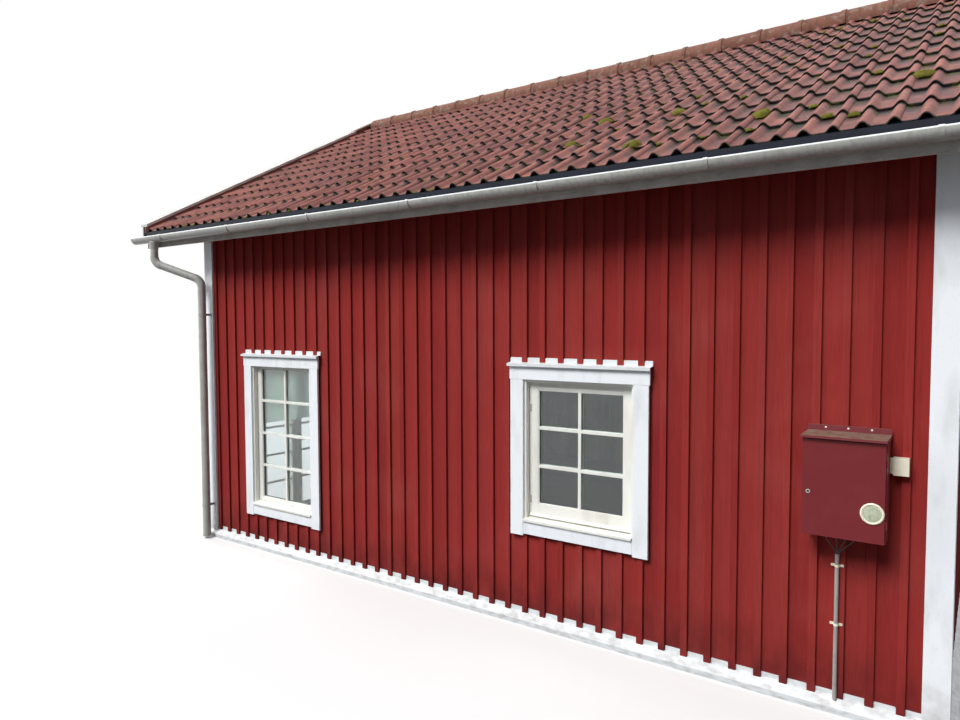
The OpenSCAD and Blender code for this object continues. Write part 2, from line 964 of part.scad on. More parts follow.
module cabinet_door() {
    front = -front_face - cabinet_d;
    back = front + cabinet_door_t;
    foot = cabinet_z + door_foot;
    head = cabinet_top - door_head;
    color(cabinet_red)
        difference() {
            union() {
                span([cabinet_left + door_edge, front, foot],
                     [cabinet_right - door_edge, back, head]);
                for (z = cabinet_hinge_z) {
                    translate([cabinet_axis_x, -cabinet_axis_y, z])
                        hinge_eye(knuckle_r, knuckle_h);
                    span([cabinet_right - door_edge, -cabinet_axis_y - 1.5,
                          z + knuckle_h + hinge_play],
                         [cabinet_right + 1.5, -cabinet_axis_y + 1.5,
                          z + 2 * knuckle_h + hinge_play]);
                }
            }
            translate([window_x, front - cut, window_z])
                rotate([-90, 0, 0])
                    cylinder(h = cabinet_door_t + 2 * cut, r = window_glass_r, $fn = 64);
        }
}

// round reading window: rim on the face of the door, glass in its hole
module reading_window() {
    front = -front_face - cabinet_d;
    color(box_cream)
        translate([window_x, 0, window_z])
            rotate([-90, 0, 0]) {
                translate([0, 0, front - 8])
                    cylinder(h = 8, r = window_r, $fn = 64);
                translate([0, 0, front])
                    cylinder(h = cabinet_door_t, r = window_glass_r, $fn = 64);
            }
}

module cabinet_lock() {
    front = -front_face - cabinet_d;
    color(cabinet_grey)
        translate([lock_x, front - 6, lock_z])
            rotate([-90, 0, 0])
                cylinder(h = 6, r = 11, $fn = 32);
}

module junction_box() {
    color(box_cream) {
        span([junction_x - junction_w / 2, -front_face - junction_d, junction_z - junction_h / 2],
             [junction_x + junction_w / 2, -front_face, junction_z + junction_h / 2]);
        span([cabinet_right, -front_face - stub_d, junction_z - stub_h / 2],
             [junction_x - junction_w / 2, -front_face, junction_z + stub_h / 2]);
    }
}

module cable_conduit() {
    color(cabinet_grey)
        translate([conduit_x, -conduit_y, base_h])
            cylinder(h = conduit_top - base_h, r = conduit_r, $fn = 32);
}

module conduit_clips() {
    color(cabinet_grey)
        for (z = conduit_clip_z)
            difference() {
                span([conduit_x - 24, -conduit_y - conduit_r - 2, z],
                     [conduit_x + 24, -front_face, z + 20]);
                translate([conduit_x, -conduit_y, z - cut])
                    cylinder(h = 20 + 2 * cut, r = conduit_r, $fn = 32);
            }
}

// cables that rise from the conduit and fan out to glands under the cabinet
module meter_cables() {
    rise = 22;
    color(strip_black)
        for (i = [0 : len(cable_x) - 1]) {
            from = [conduit_x + (i - 1.5) * cable_gap, -conduit_y, conduit_top];
            to = [cabinet_x + cable_x[i], -front_face - cabinet_box_d / 2, cabinet_z];
            low = from + [0, 0, rise];
            high = to - [0, 0, 1.5 * rise];
            run = high - low;
            translate(from)
                cylinder(h = rise, r = cable_r, $fn = 24);
            translate(low)
                sphere(cable_r + 0.3, $fn = 24);
            translate(low)
                rotate([0, acos(run[2] / norm(run)), atan2(run[1], run[0])])
                    cylinder(h = norm(run), r = cable_r, $fn = 24);
            translate(high)
                sphere(cable_r + 0.3, $fn = 24);
            translate(high)
                cylinder(h = 1.5 * rise, r = cable_r, $fn = 24);
            translate(to - [0, 0, 14])
                cylinder(h = 14, r = 2.5 * cable_r, $fn = 24);
        }
}

floor_deck();  // floor
long_wall([tall_window, low_window]);  // front_wall
mirror([0, 1, 0]) long_wall([low_window]);  // back_wall
left_gable_front_part();
left_gable_back_part();
left_gable_over_doors();
right_gable_wall();
corner_boards();
base_flashing();
front_window_frames();
front_window_sashes();
front_window_glass();
front_window_casings();
front_head_flashings();
mirror([0, 1, 0]) window_frame(low_window);  // back_window_frame
mirror([0, 1, 0]) low_sash();  // back_window_sash
mirror([0, 1, 0]) low_glass();  // back_window_glass
mirror([0, 1, 0]) low_casing();  // back_window_casing
mirror([0, 1, 0]) low_head_flashing();  // back_head_flashing
lake_door_frame();
lake_door_casing();
lake_door_right_leaf();
lake_door_left_leaf();
lake_door_right_glass();
lake_door_left_glass();
lake_door_handle();
door_blind_roller();
door_blind();
roof_slope();  // front_roof_slope
mirror([0, 1, 0]) roof_slope();  // back_roof_slope
ridge_caps();
barge_boards();
verge_planks();
fascias();
eave_strips();
front_gutter();
back_gutter();
gutter_brackets();
front_downpipe();
back_downpipe();
pipe_clips();
meter_cabinet();
cabinet_hood();
cabinet_door();
reading_window();
cabinet_lock();
junction_box();
cable_conduit();
conduit_clips();
meter_cables();
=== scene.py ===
"""Looks of a timber boathouse: board-and-batten walls, white joinery, tiled roof and rainwater goods."""

import math
import random
from collections import namedtuple

import bmesh
import bpy
from mathutils import Matrix, Vector, noise


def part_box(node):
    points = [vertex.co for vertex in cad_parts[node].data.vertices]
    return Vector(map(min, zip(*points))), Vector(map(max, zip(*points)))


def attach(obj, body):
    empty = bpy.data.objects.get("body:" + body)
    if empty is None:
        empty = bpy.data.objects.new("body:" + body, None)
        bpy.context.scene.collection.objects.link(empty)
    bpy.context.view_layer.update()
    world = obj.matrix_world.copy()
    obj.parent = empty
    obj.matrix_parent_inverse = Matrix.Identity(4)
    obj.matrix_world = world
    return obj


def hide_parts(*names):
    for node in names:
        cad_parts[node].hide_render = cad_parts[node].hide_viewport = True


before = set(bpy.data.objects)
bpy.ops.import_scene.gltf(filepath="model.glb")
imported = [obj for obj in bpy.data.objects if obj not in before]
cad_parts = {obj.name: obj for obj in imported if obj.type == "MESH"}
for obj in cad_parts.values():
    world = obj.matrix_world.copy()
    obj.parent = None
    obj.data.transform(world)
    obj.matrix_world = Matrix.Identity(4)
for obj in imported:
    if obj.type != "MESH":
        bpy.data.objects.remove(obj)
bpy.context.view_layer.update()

# Camera of the view, in the row frame
CAMERA_AT = (3.720, -8.183, 2.429)
CAMERA_LEFT = 35.616
CAMERA_DOWN = 2.848
CAMERA_ROLL = -0.206
CAMERA_LENS = 26.60
SENSOR = 36.0

# Roof form
PITCH = math.radians(28)
SLOPE = math.tan(PITCH)
ROOF_LOW, ROOF_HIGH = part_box("front_roof_slope")
ROOF_X = ROOF_HIGH.x
EAVE_Y = -ROOF_LOW.y
RIDGE_Z = ROOF_HIGH.z
EAVE_Z = RIDGE_Z - EAVE_Y * SLOPE
ROOF_BUILD = 0.115

# Double-roll concrete tiles: cover width, rolls, thickness at rolls and pans, lift of each nose
TILE_W = 0.300
TILE_START = 0.010
ROLLS = (-0.030, 0.115, 0.270, 0.415)
ROLL_HALF = 0.042
ROLL_RISE = 0.034
CREST = 0.004
ROLL_T = 0.012
PAN_T = 0.020
TILE_STEPS = 28
SEAM_STEP = 0.005
LIFT = 0.020
LAP = 0.050
COURSES = 12
GAUGE = EAVE_Y / math.cos(PITCH) / COURSES

# Moss: (x, metres up the slope, size) of each cushion, and how many small tufts there are
MOSS_SPOTS = (
    (2.445, 0.67, 0.058), (3.345, 1.03, 0.056), (1.695, 1.21, 0.056), (1.000, 1.37, 0.058), (1.630, 0.37, 0.062),
    (1.000, 0.70, 0.058), (0.670, 1.72, 0.052), (2.895, 0.35, 0.032), (3.045, 0.29, 0.032))
MOSS_TUFTS = 90
EAVE_TUFTS = 15

# Ridge caps: their laps reach the top of the box that the construction gives them
CAP_R = 0.120
CAP_L = 0.412
CAP_T = 0.014
CAP_SWELL = 0.010
CAP_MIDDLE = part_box("ridge_caps")[1].z - CAP_R - CAP_SWELL
CAP_OVER = 0.012
CAP_LAP = 0.045

# Verges: planks on barge boards
VERGE_RISE = 0.022 / math.cos(PITCH)
PLANK_T = 0.028 / math.cos(PITCH)
BARGE_DEPTH = 0.150 / math.cos(PITCH)
PLANK_JOINT = 0.43

# Walls, from the faces of the battens
FRONT_LOW, FRONT_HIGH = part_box("front_wall")
FRONT_FACE = -FRONT_LOW.y
GABLE_FACE = FRONT_HIGH.x
WALL = FRONT_HIGH.y - FRONT_LOW.y
TRIM = 0.022
CORNER_W = 0.142
BASE_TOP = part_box("base_flashing")[1].z
FLOOR_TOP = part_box("floor")[1].z
BATTEN_PITCH = 0.1655
BATTEN_AT = 0.700
BATTEN_W = 0.048
BATTEN_T = 0.022
BOARD_T = 0.022
CLADDING = BATTEN_T + BOARD_T
LINING_T = 0.015
LINING_PITCH = 0.12
BOARD_FOOT = 0.03
SLIVER = 0.02

# Windows: middle counted to the right as seen from outside, foot and height of the frame
Window = namedtuple("Window", "middle foot height stile top_rail bottom_rail panes")
TALL = Window(-2.315, 0.470, 1.580, 0.057, 0.040, 0.040, 4)
LOW = Window(1.170, 0.830, 1.180, 0.076, 0.056, 0.108, 3)
WINDOW_W = 0.980
FRAME_M = 0.040
FRAME_D = 0.140
SASH_IN = 0.048
SASH_T = 0.056
PANE_T = 0.004
PANE_GAP = 0.008
SPACER_W = 0.014
BAR_W = 0.026
BEAD = 0.010
OPENING_TOP = 1.990
CASING_W = 0.120
CASING_LAP = 0.020
EAR = 0.008

# Lake doors: right and left leaf in the left gable
DOOR_LOW, DOOR_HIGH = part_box("lake_door_frame")
DOOR_MIDDLE = -(DOOR_LOW.y + DOOR_HIGH.y) / 2
DOOR_W = DOOR_HIGH.y - DOOR_LOW.y
DOOR_H = DOOR_HIGH.z

# Gutter: half-round trough with a beaded lip
GUTTER_R = 0.064
GUTTER_T = 0.003
GUTTER_Y = EAVE_Y - 0.050 + GUTTER_R + 0.003
GUTTER_Z = EAVE_Z - 0.105
LIP_R = 0.007
SLEEVE_AT = -0.245
SLEEVE_L = 0.080
BRACKET_AT = 3.500
BRACKET_PITCH = 1.207
BRACKET_W = 0.028

# Meter cabinet
CABINET_LOW, CABINET_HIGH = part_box("meter_cabinet")
HOOD_SIDE = 0.020
CABINET_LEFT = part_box("cabinet_hood")[0].x + HOOD_SIDE
CABINET_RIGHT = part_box("cabinet_hood")[1].x - HOOD_SIDE
CABINET_X = (CABINET_LEFT + CABINET_RIGHT) / 2
CABINET_D = 0.210
CABINET_BOX = 0.185
CONDUIT_LOW, CONDUIT_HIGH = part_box("cable_conduit")
CONDUIT_X = (CONDUIT_LOW.x + CONDUIT_HIGH.x) / 2
CONDUIT_Y = (CONDUIT_LOW.y + CONDUIT_HIGH.y) / 2
CONDUIT_R = (CONDUIT_HIGH.x - CONDUIT_LOW.x) / 2

# Cables: what their routes are made of in the construction, in metres
CABLE_D = 0.006
CABLE_GAP = 0.0064
CABLE_RISE = 0.022
CABLE_X = (-0.110, -0.045, 0.010, 0.060)

chance = random.Random(11)


def linear(colour):
    """A hex colour as it looks on a screen, turned to the linear values that a shader takes."""
    parts = [int(colour[i:i + 2], 16) / 255 for i in (1, 3, 5)]
    parts = [c / 12.92 if c <= 0.04045 else ((c + 0.055) / 1.055) ** 2.4 for c in parts]
    return (*parts, 1.0)


def turns(size):
    """How often a pattern of this size in millimetres comes in a metre."""
    return 1000 / size


def node(tree, kind, inputs=None, stops=None, **settings):
    """Adds a node. inputs gives each socket a value or the output that feeds it, stops fills a ramp."""
    made = tree.nodes.new(kind)
    for name, value in settings.items():
        setattr(made, name, value)
    for place, value in (inputs or {}).items():
        if isinstance(value, bpy.types.NodeSocket):
            tree.links.new(value, made.inputs[place])
        else:
            made.inputs[place].default_value = value
    for i, (position, value) in enumerate(stops or []):
        ramp = made.color_ramp.elements
        stop = ramp[i] if i < 2 else ramp.new(position)
        stop.position = position
        stop.color = linear(value)
    return made


class Shape:
    """Corners and faces of one piece. Points are given in the frame of place, such as a wall's."""

    def __init__(self, place=None):
        self.place = place or Matrix()
        self.points = []
        self.faces = []
        self.marks = []

    def add(self, points, faces, mark=0.0):
        first = len(self.points)
        self.points += [self.place @ Vector(p) for p in points]
        self.faces += [[first + i for i in face] for face in faces]
        self.marks += mark if isinstance(mark, list) else [mark] * len(points)

    def prism(self, outline, low, high, along="y"):
        """A solid between two copies of an outline that is drawn across the axis along."""
        order = {"x": (2, 0, 1), "y": (0, 2, 1), "z": (0, 1, 2)}[along]
        count = len(outline)
        points = []
        for end in (low, high):
            for a, b in outline:
                points.append([(a, b, end)[i] for i in order])
        sides = [(i, (i + 1) % count, (i + 1) % count + count, i + count) for i in range(count)]
        self.add(points, [list(range(count)), list(range(count, 2 * count)), *sides])

    def block(self, low, high):
        outline = [(low[0], low[1]), (high[0], low[1]), (high[0], high[1]), (low[0], high[1])]
        self.prism(outline, low[2], high[2], "z")

    def loft(self, rings, marks=None):
        """Skins a row of closed rings with as many points each and closes both ends."""
        count = len(rings[0])
        faces = [list(range(count)), list(range((len(rings) - 1) * count, len(rings) * count))]
        for r in range(len(rings) - 1):
            for i in range(count):
                j = (i + 1) % count
                faces.append((r * count + i, r * count + j, (r + 1) * count + j, (r + 1) * count + i))
        self.add([p for ring in rings for p in ring], faces, marks or 0.0)

    def turned(self, at, axis, profile, sides=24):
        """Turns a profile of (distance along the axis, radius) round an axis through at."""
        axis = Vector(axis).normalized()
        across = axis.orthogonal().normalized()
        other = axis.cross(across)
        around = [2 * math.pi * i / sides for i in range(sides)]
        rings = []
        for along, radius in profile:
            middle = Vector(at) + axis * along
            rings.append([middle + (across * math.cos(t) + other * math.sin(t)) * radius for t in around])
        self.loft(rings)

    def tube(self, path, radius, sides=16):
        """Sweeps a round section along a path of points."""
        path = [Vector(p) for p in path]
        around = [2 * math.pi * k / sides for k in range(sides)]
        rings = []
        across = (path[1] - path[0]).orthogonal().normalized()
        for i, p in enumerate(path):
            run = (path[min(i + 1, len(path) - 1)] - path[max(i - 1, 0)]).normalized()
            across = (across - run * across.dot(run)).normalized()
            other = run.cross(across)
            rings.append([p + (across * math.cos(t) + other * math.sin(t)) * radius for t in around])
        self.loft(rings)


def piece(shape, name, material, body="building", replaces=(), bevel=0.0, sharp=35):
    """Makes the mesh of a shape and hangs it on its body. bevel rounds its edges."""
    mesh = bpy.data.meshes.new(name)
    mesh.from_pydata(shape.points, [], shape.faces)
    solid = bmesh.new()
    solid.from_mesh(mesh)
    bmesh.ops.recalc_face_normals(solid, faces=solid.faces)
    solid.to_mesh(mesh)
    solid.free()
    if any(shape.marks):
        mesh.attributes.new("mark", "FLOAT", "POINT").data.foreach_set("value", shape.marks)
    mesh.shade_smooth()
    mesh.set_sharp_from_angle(angle=math.radians(sharp))
    made = bpy.data.objects.new(name, mesh)
    bpy.context.scene.collection.objects.link(made)
    mesh.materials.append(material)
    if bevel:
        round_edges(made, bevel)
    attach(made, body)
    if replaces:
        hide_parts(*replaces)
    return made


def round_edges(made, width, segments=2):
    """Rounds the edges of a piece, as a plane, a die or wear leaves them."""
    edge = made.modifiers.new("edges", "BEVEL")
    edge.width = width
    edge.segments = segments
    edge.limit_method = "ANGLE"
    edge.angle_limit = math.radians(40)
    edge.harden_normals = True


def dress(name, material, bevel=0.0):
    """Gives a construction piece whose shape is right its finish and softened edges."""
    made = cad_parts[name]
    made.data.materials.clear()
    made.data.materials.append(material)
    if bevel:
        round_edges(made, bevel)


def camera():
    left = math.radians(CAMERA_LEFT)
    down = math.radians(CAMERA_DOWN)
    roll = math.radians(CAMERA_ROLL)
    ahead = Vector((-math.sin(left) * math.cos(down), math.cos(left) * math.cos(down), -math.sin(down)))
    level = Vector((math.cos(left), math.sin(left), 0.0))
    upright = level.cross(ahead)
    right = level * math.cos(roll) + upright * math.sin(roll)
    top = upright * math.cos(roll) - level * math.sin(roll)
    turn = Matrix((right, top, -ahead)).transposed().to_4x4()
    made = bpy.data.objects.new("camera", bpy.data.cameras.new("camera"))
    made.data.lens = CAMERA_LENS
    made.data.sensor_width = SENSOR
    made.matrix_world = Matrix.Translation(CAMERA_AT) @ turn
    bpy.context.scene.collection.objects.link(made)
    bpy.context.scene.camera = made


camera()

# Materials. Each starts from the real surface; patterns are sized in millimetres by turns().


def start(name, roughness, specular=0.5, metallic=0.0):
    """A new material with its tree, its shader, and the places of the row frame for its patterns."""
    made = bpy.data.materials.new(name)
    made.use_nodes = True
    tree = made.node_tree
    shader = tree.nodes["Principled BSDF"]
    shader.inputs["Roughness"].default_value = roughness
    shader.inputs["Specular IOR Level"].default_value = specular
    shader.inputs["Metallic"].default_value = metallic
    return made, tree, shader, node(tree, "ShaderNodeTexCoord").outputs["Object"]


def patches(tree, place, size, low, high, most=1.0, detail=4.0):
    """Share from 0 to most of uneven patches. size is in millimetres, one for all axes or one for each,
    and most is a number or another share that the patches keep within."""
    sizes = size if isinstance(size, tuple) else (size, size, size)
    scaled = node(tree, "ShaderNodeMapping", {"Vector": place, "Scale": tuple(turns(s) for s in sizes)})
    grain = {"Vector": scaled.outputs["Vector"], "Scale": 1.0, "Detail": detail}
    cloud = node(tree, "ShaderNodeTexNoise", grain)
    spread = {"Value": cloud.outputs["Fac"], "From Min": low, "From Max": high, "To Max": most}
    return node(tree, "ShaderNodeMapRange", spread).outputs["Result"]


def lay(tree, shader, tone, layers, relief=None, depth=0.0):
    """Lays wear and dirt over a tone, one after the other, and gives the surface its relief."""
    for share, colour in layers:
        mixed = node(tree, "ShaderNodeMix", {"Factor": share, "A": tone, "B": linear(colour)}, data_type="RGBA")
        tone = mixed.outputs["Result"]
    tree.links.new(tone, shader.inputs["Base Color"])
    if relief:
        bump = node(tree, "ShaderNodeBump", {"Height": relief, "Distance": depth, "Strength": 1.0})
        tree.links.new(bump.outputs["Normal"], shader.inputs["Normal"])


def up_to(tree, place, bottom, top, share):
    """Share that falls from its full value at one height to nothing at another."""
    height = node(tree, "ShaderNodeSeparateXYZ", {"Vector": place}).outputs["Z"]
    fall = {"Value": height, "From Min": bottom, "From Max": top, "To Min": share, "To Max": 0.0}
    return node(tree, "ShaderNodeMapRange", fall).outputs["Result"]


def by_board(tree, *colours):
    """A tone for each board or tile, from a ramp of colours."""
    part = node(tree, "ShaderNodeNewGeometry").outputs["Random Per Island"]
    stops = [(i / (len(colours) - 1), c) for i, c in enumerate(colours)]
    return node(tree, "ShaderNodeValToRGB", {"Fac": part}, stops).outputs["Color"]


def slurry_red():
    """Red iron-oxide slurry paint on sawn spruce: no gloss, raised grain, boards of uneven tone
    that fade in patches, and a foot that stays damp and dark."""
    made, tree, shader, place = start("slurry_red_on_sawn_spruce", 0.93, 0.12)
    grain = patches(tree, place, (4, 4, 180), 0.35, 0.75, 0.35, 3.0)
    faded = patches(tree, place, 650, 0.50, 0.80, 0.40)
    streaks = patches(tree, place, (30, 30, 900), 0.52, 0.80, 0.35)
    damp = patches(tree, place, (160, 160, 240), 0.25, 0.65, up_to(tree, place, 0.06, 0.50, 0.75))
    lay(tree, shader, by_board(tree, "#8A2C2A", "#9A322E", "#943733"),
        [(faded, "#AA544E"), (streaks, "#6E211F"), (grain, "#611B1A"), (damp, "#3E1718")], grain, 0.0012)
    return made


def brushed_white(name, tone, dirt, foot_dirt, roughness):
    """Alkyd paint on planed boards: satin, faint brush marks, grey dirt in patches and at the foot."""
    made, tree, shader, place = start(name, roughness, 0.4)
    marks = patches(tree, place, (3, 3, 90), 0.4, 0.6, 1.0, 2.0)
    grime = patches(tree, place, (140, 140, 500), 0.52, 0.78, 0.45)
    specks = patches(tree, place, 9, 0.68, 0.76, 0.25, 1.0)
    foot = patches(tree, place, 90, 0.3, 0.7, up_to(tree, place, 0.10, 0.45, foot_dirt))
    lay(tree, shader, by_board(tree, *tone), [(grime, dirt), (specks, dirt), (foot, "#8E8778")], marks, 0.00025)
    return made


def folded_sheet():
    """Steel sheet with white factory coating, folded: even and satin, with splashed brown dirt low down."""
    made, tree, shader, place = start("white_coated_sheet", 0.38, 0.5)
    film = patches(tree, place, (220, 220, 60), 0.50, 0.75, 0.35)
    splash = patches(tree, place, (70, 70, 30), 0.42, 0.72, up_to(tree, place, 0.06, 0.16, 0.45))
    dull = patches(tree, place, 500, 0.35, 0.65, 1.0, 2.0)
    lay(tree, shader, linear("#DDE1E2"), [(film, "#B3B2AA"), (splash, "#8C8074")], dull, 0.0006)
    return made


def concrete_tile():
    """Coloured concrete, extruded: sandy and matt. The colour slurry wears to grey in the pans, moss
    gathers where the next nose covers them, and pale lichen dots the rolls. Under each next nose and on
    the nose faces a near-black band is painted shadow of the gap there, with some real dirt and algae."""
    made, tree, shader, place = start("red_concrete_tile", 0.68, 0.30)
    under_nose = node(tree, "ShaderNodeAttribute", attribute_name="mark").outputs["Fac"]
    pan = node(tree, "ShaderNodeMapRange", {"Value": under_nose, "From Min": 0.06, "From Max": 0.45, "To Max": 0.90})
    # joint lays near-black on the nose faces, undersides and the strip under each next nose: painted shadow of the gap,
    # with some real dirt and algae
    joint = node(tree, "ShaderNodeMapRange", {"Value": under_nose, "From Min": 0.42, "From Max": 0.85, "To Max": 0.97})
    sand = patches(tree, place, 3.5, 0.40, 0.62, 0.35, 2.0)
    tone = patches(tree, place, 900, 0.40, 0.70, 0.45)
    worn = patches(tree, place, (70, 110, 110), 0.46, 0.66, 0.50)
    worn_pan = patches(tree, place, 130, 0.25, 0.60, pan.outputs["Result"])
    moss = patches(tree, place, (55, 70, 70), 0.53, 0.60, joint.outputs["Result"])
    cells = node(tree, "ShaderNodeTexVoronoi", {"Vector": place, "Scale": turns(38)}).outputs["Distance"]
    rounds = {"Value": cells, "From Min": 0.10, "From Max": 0.19, "To Min": 0.75, "To Max": 0.0}
    spots = node(tree, "ShaderNodeMapRange", rounds)
    lichen = patches(tree, place, 260, 0.50, 0.62, spots.outputs["Result"])
    # The #181212 laid by joint is painted shadow under the noses, partly real dirt and algae
    lay(tree, shader, by_board(tree, "#864C45", "#A46358", "#B27163", "#92564B"),
        [(tone, "#966860"), (worn, "#744844"), (sand, "#603C36"), (worn_pan, "#4A4144"), (lichen, "#B9AC9A"),
         (joint.outputs["Result"], "#181212"), (moss, "#4A4A22")], sand, 0.004)
    return made


def ridge_concrete():
    """Concrete ridge caps, browner than the tiles: sandy, with crusts of grey and yellow lichen."""
    made, tree, shader, place = start("brown_concrete_ridge", 0.9, 0.25)
    sand = patches(tree, place, 3.5, 0.40, 0.62, 0.35, 2.0)
    crust = patches(tree, place, 45, 0.55, 0.62, 0.7)
    yellow = patches(tree, place, 26, 0.62, 0.68, 0.7)
    dark = patches(tree, place, (60, 120, 120), 0.50, 0.70, 0.55)
    lay(tree, shader, by_board(tree, "#7E5347", "#8D6152", "#855849"),
        [(dark, "#4C3832"), (crust, "#8F8578"), (yellow, "#7A6E38"), (sand, "#5E443A")], sand, 0.004)
    return made


def moss():
    """Cushions of moss: a dense velvet of green tips over brown stems."""
    made, tree, shader, place = start("moss", 1.0, 0.1)
    tips = patches(tree, place, 4, 0.35, 0.65, 0.9, 2.0)
    lay(tree, shader, by_board(tree, "#46451F", "#68652A"), [(tips, "#8E8A3C")], tips, 0.003)
    return made


def weathered_paint(name, tones, bare, share):
    """Old off-white paint on planed boards: chalky, grey with grime, and bare wood where it flaked."""
    made, tree, shader, place = start(name, 0.75, 0.3)
    grime = patches(tree, place, 160, 0.42, 0.72, 0.55)
    flakes = patches(tree, place, (90, 30, 30), 0.60, 0.66, share)
    marks = patches(tree, place, (90, 4, 4), 0.4, 0.7, 1.0, 3.0)
    lay(tree, shader, by_board(tree, *tones), [(grime, "#8E8A84"), (flakes, bare)], marks, 0.0005)
    return made


def bare_plank():
    """Pine plank that has lost its paint: silvered brown, with open grain along the slope."""
    made, tree, shader, place = start("bare_pine_plank", 0.9, 0.2)
    grain = patches(tree, place, (4, 150, 80), 0.35, 0.70, 0.6, 3.0)
    stain = patches(tree, place, 120, 0.40, 0.70, 0.5)
    lay(tree, shader, linear("#7A5E4A"), [(stain, "#4E3D33"), (grain, "#5A4334")], grain, 0.001)
    return made


def black_sheet():
    """Blue-black coated steel sheet, folded: smooth and dull, with a film of dust."""
    made, tree, shader, place = start("black_coated_sheet", 0.6, 0.2)
    dust = patches(tree, place, (260, 40, 40), 0.42, 0.75, 0.30)
    lay(tree, shader, linear("#0F1420"), [(dust, "#222838")], dust, 0.0003)
    return made


def rainwater_steel():
    """Coated steel gutters and pipes: a grey tone below the white coating, partly grime and partly painted
    shade, grime that runs down in streaks, and a white band at the lip that is a painted highlight of the bead."""
    made, tree, shader, place = start("coated_rainwater_steel", 0.36, 0.5)
    streaks = patches(tree, place, (26, 26, 420), 0.45, 0.68, 0.50)
    film = patches(tree, place, (700, 700, 120), 0.35, 0.65, 0.60)
    # lip: white band over the top few millimetres of the gutter, a painted highlight of the bead
    height = node(tree, "ShaderNodeSeparateXYZ", {"Vector": place}).outputs["Z"]
    rise = {"Value": height, "From Min": GUTTER_Z - 0.006, "From Max": GUTTER_Z - 0.001}
    lip = node(tree, "ShaderNodeMapRange", rise).outputs["Result"]
    # B9B9B3 is darker than the white coating: partly grime, partly painted shade
    lay(tree, shader, linear("#B9B9B3"), [(film, "#A09E97"), (streaks, "#8A8882"), (lip, "#E9EDEC")], film, 0.0006)
    return made


def maroon_enamel():
    """Stove enamel on steel sheet: maroon, even, with a slight orange peel and a film of dust."""
    made, tree, shader, place = start("maroon_stove_enamel", 0.48, 0.25)
    peel = patches(tree, place, 5, 0.3, 0.7, 1.0, 1.0)
    dust = patches(tree, place, 130, 0.45, 0.75, 0.22)
    lay(tree, shader, linear("#6C2025"), [(dust, "#7A3A34")], peel, 0.0003)
    return made


def dirty_hood():
    """The same enamel on the rain hood, under ochre dirt that the rain leaves on flat sheet."""
    made, tree, shader, place = start("hood_enamel_under_dirt", 0.6, 0.35)
    normal = node(tree, "ShaderNodeNewGeometry").outputs["Normal"]
    upward = node(tree, "ShaderNodeSeparateXYZ", {"Vector": normal}).outputs["Z"]
    facing = {"Value": upward, "From Min": 0.3, "From Max": 0.8, "To Max": 0.9}
    level = node(tree, "ShaderNodeMapRange", facing).outputs["Result"]
    dirt = patches(tree, place, 55, 0.20, 0.60, level)
    stains = patches(tree, place, 18, 0.55, 0.68, level)
    lay(tree, shader, linear("#6E2A2E"), [(dirt, "#7E7260"), (stains, "#4A4036")], dirt, 0.0008)
    return made


def cream_plastic():
    """Moulded cream plastic: smooth, satin, a little yellowed in patches."""
    made, tree, shader, place = start("moulded_cream_plastic", 0.35, 0.5)
    aged = patches(tree, place, 70, 0.45, 0.75, 0.35)
    fine = patches(tree, place, 2, 0.3, 0.7, 1.0, 1.0)
    lay(tree, shader, linear("#EFE8D2"), [(aged, "#D9CCA6")], fine, 0.0001)
    return made


def hazed_glass():
    """Reading glass gone green and hazy with age: glossy face, mottled body."""
    made, tree, shader, place = start("hazed_reading_glass", 0.12, 0.5)
    mottle = patches(tree, place, 16, 0.42, 0.62, 0.6)
    dark = patches(tree, place, 30, 0.50, 0.66, 0.5)
    lay(tree, shader, linear("#BCC2A8"), [(mottle, "#A7AC88"), (dark, "#7E8468")], mottle, 0.0001)
    return made


def dull_steel():
    """Zinc-plated steel, dulled: grey, fine scratches, a breath of rust."""
    made, tree, shader, place = start("zinc_plated_steel", 0.45, 0.5, 0.6)
    scratches = patches(tree, place, (1.5, 12, 1.5), 0.4, 0.6, 0.4, 2.0)
    rust = patches(tree, place, 9, 0.60, 0.70, 0.3)
    lay(tree, shader, linear("#C6C3BB"), [(scratches, "#9A9790"), (rust, "#70452E")], scratches, 0.0001)
    return made


def dark_brass():
    """Keyway of the lock: old brass gone nearly black."""
    made, tree, shader, place = start("tarnished_brass", 0.5, 0.5, 0.6)
    worn = patches(tree, place, 3, 0.5, 0.7, 0.5)
    lay(tree, shader, linear("#2A2622"), [(worn, "#6E5C38")], worn, 0.0001)
    return made


def grey_conduit():
    """Rigid grey plastic conduit: extruded, so smooth with faint lines along it."""
    made, tree, shader, place = start("extruded_grey_conduit", 0.4, 0.5)
    lines = patches(tree, place, (2.5, 2.5, 200), 0.35, 0.65, 0.35, 1.0)
    dirt = patches(tree, place, 60, 0.50, 0.75, 0.45)
    lay(tree, shader, linear("#A19C97"), [(dirt, "#77716A"), (lines, "#8C8782")], lines, 0.0001)
    return made


def cable_sheath():
    """Black PVC cable sheath: smooth and soft, with dust on it."""
    made, tree, shader, place = start("black_pvc_sheath", 0.48, 0.5)
    dust = patches(tree, place, 14, 0.45, 0.75, 0.45)
    lay(tree, shader, linear("#131315"), [(dust, "#3A3836")], dust, 0.0001)
    return made


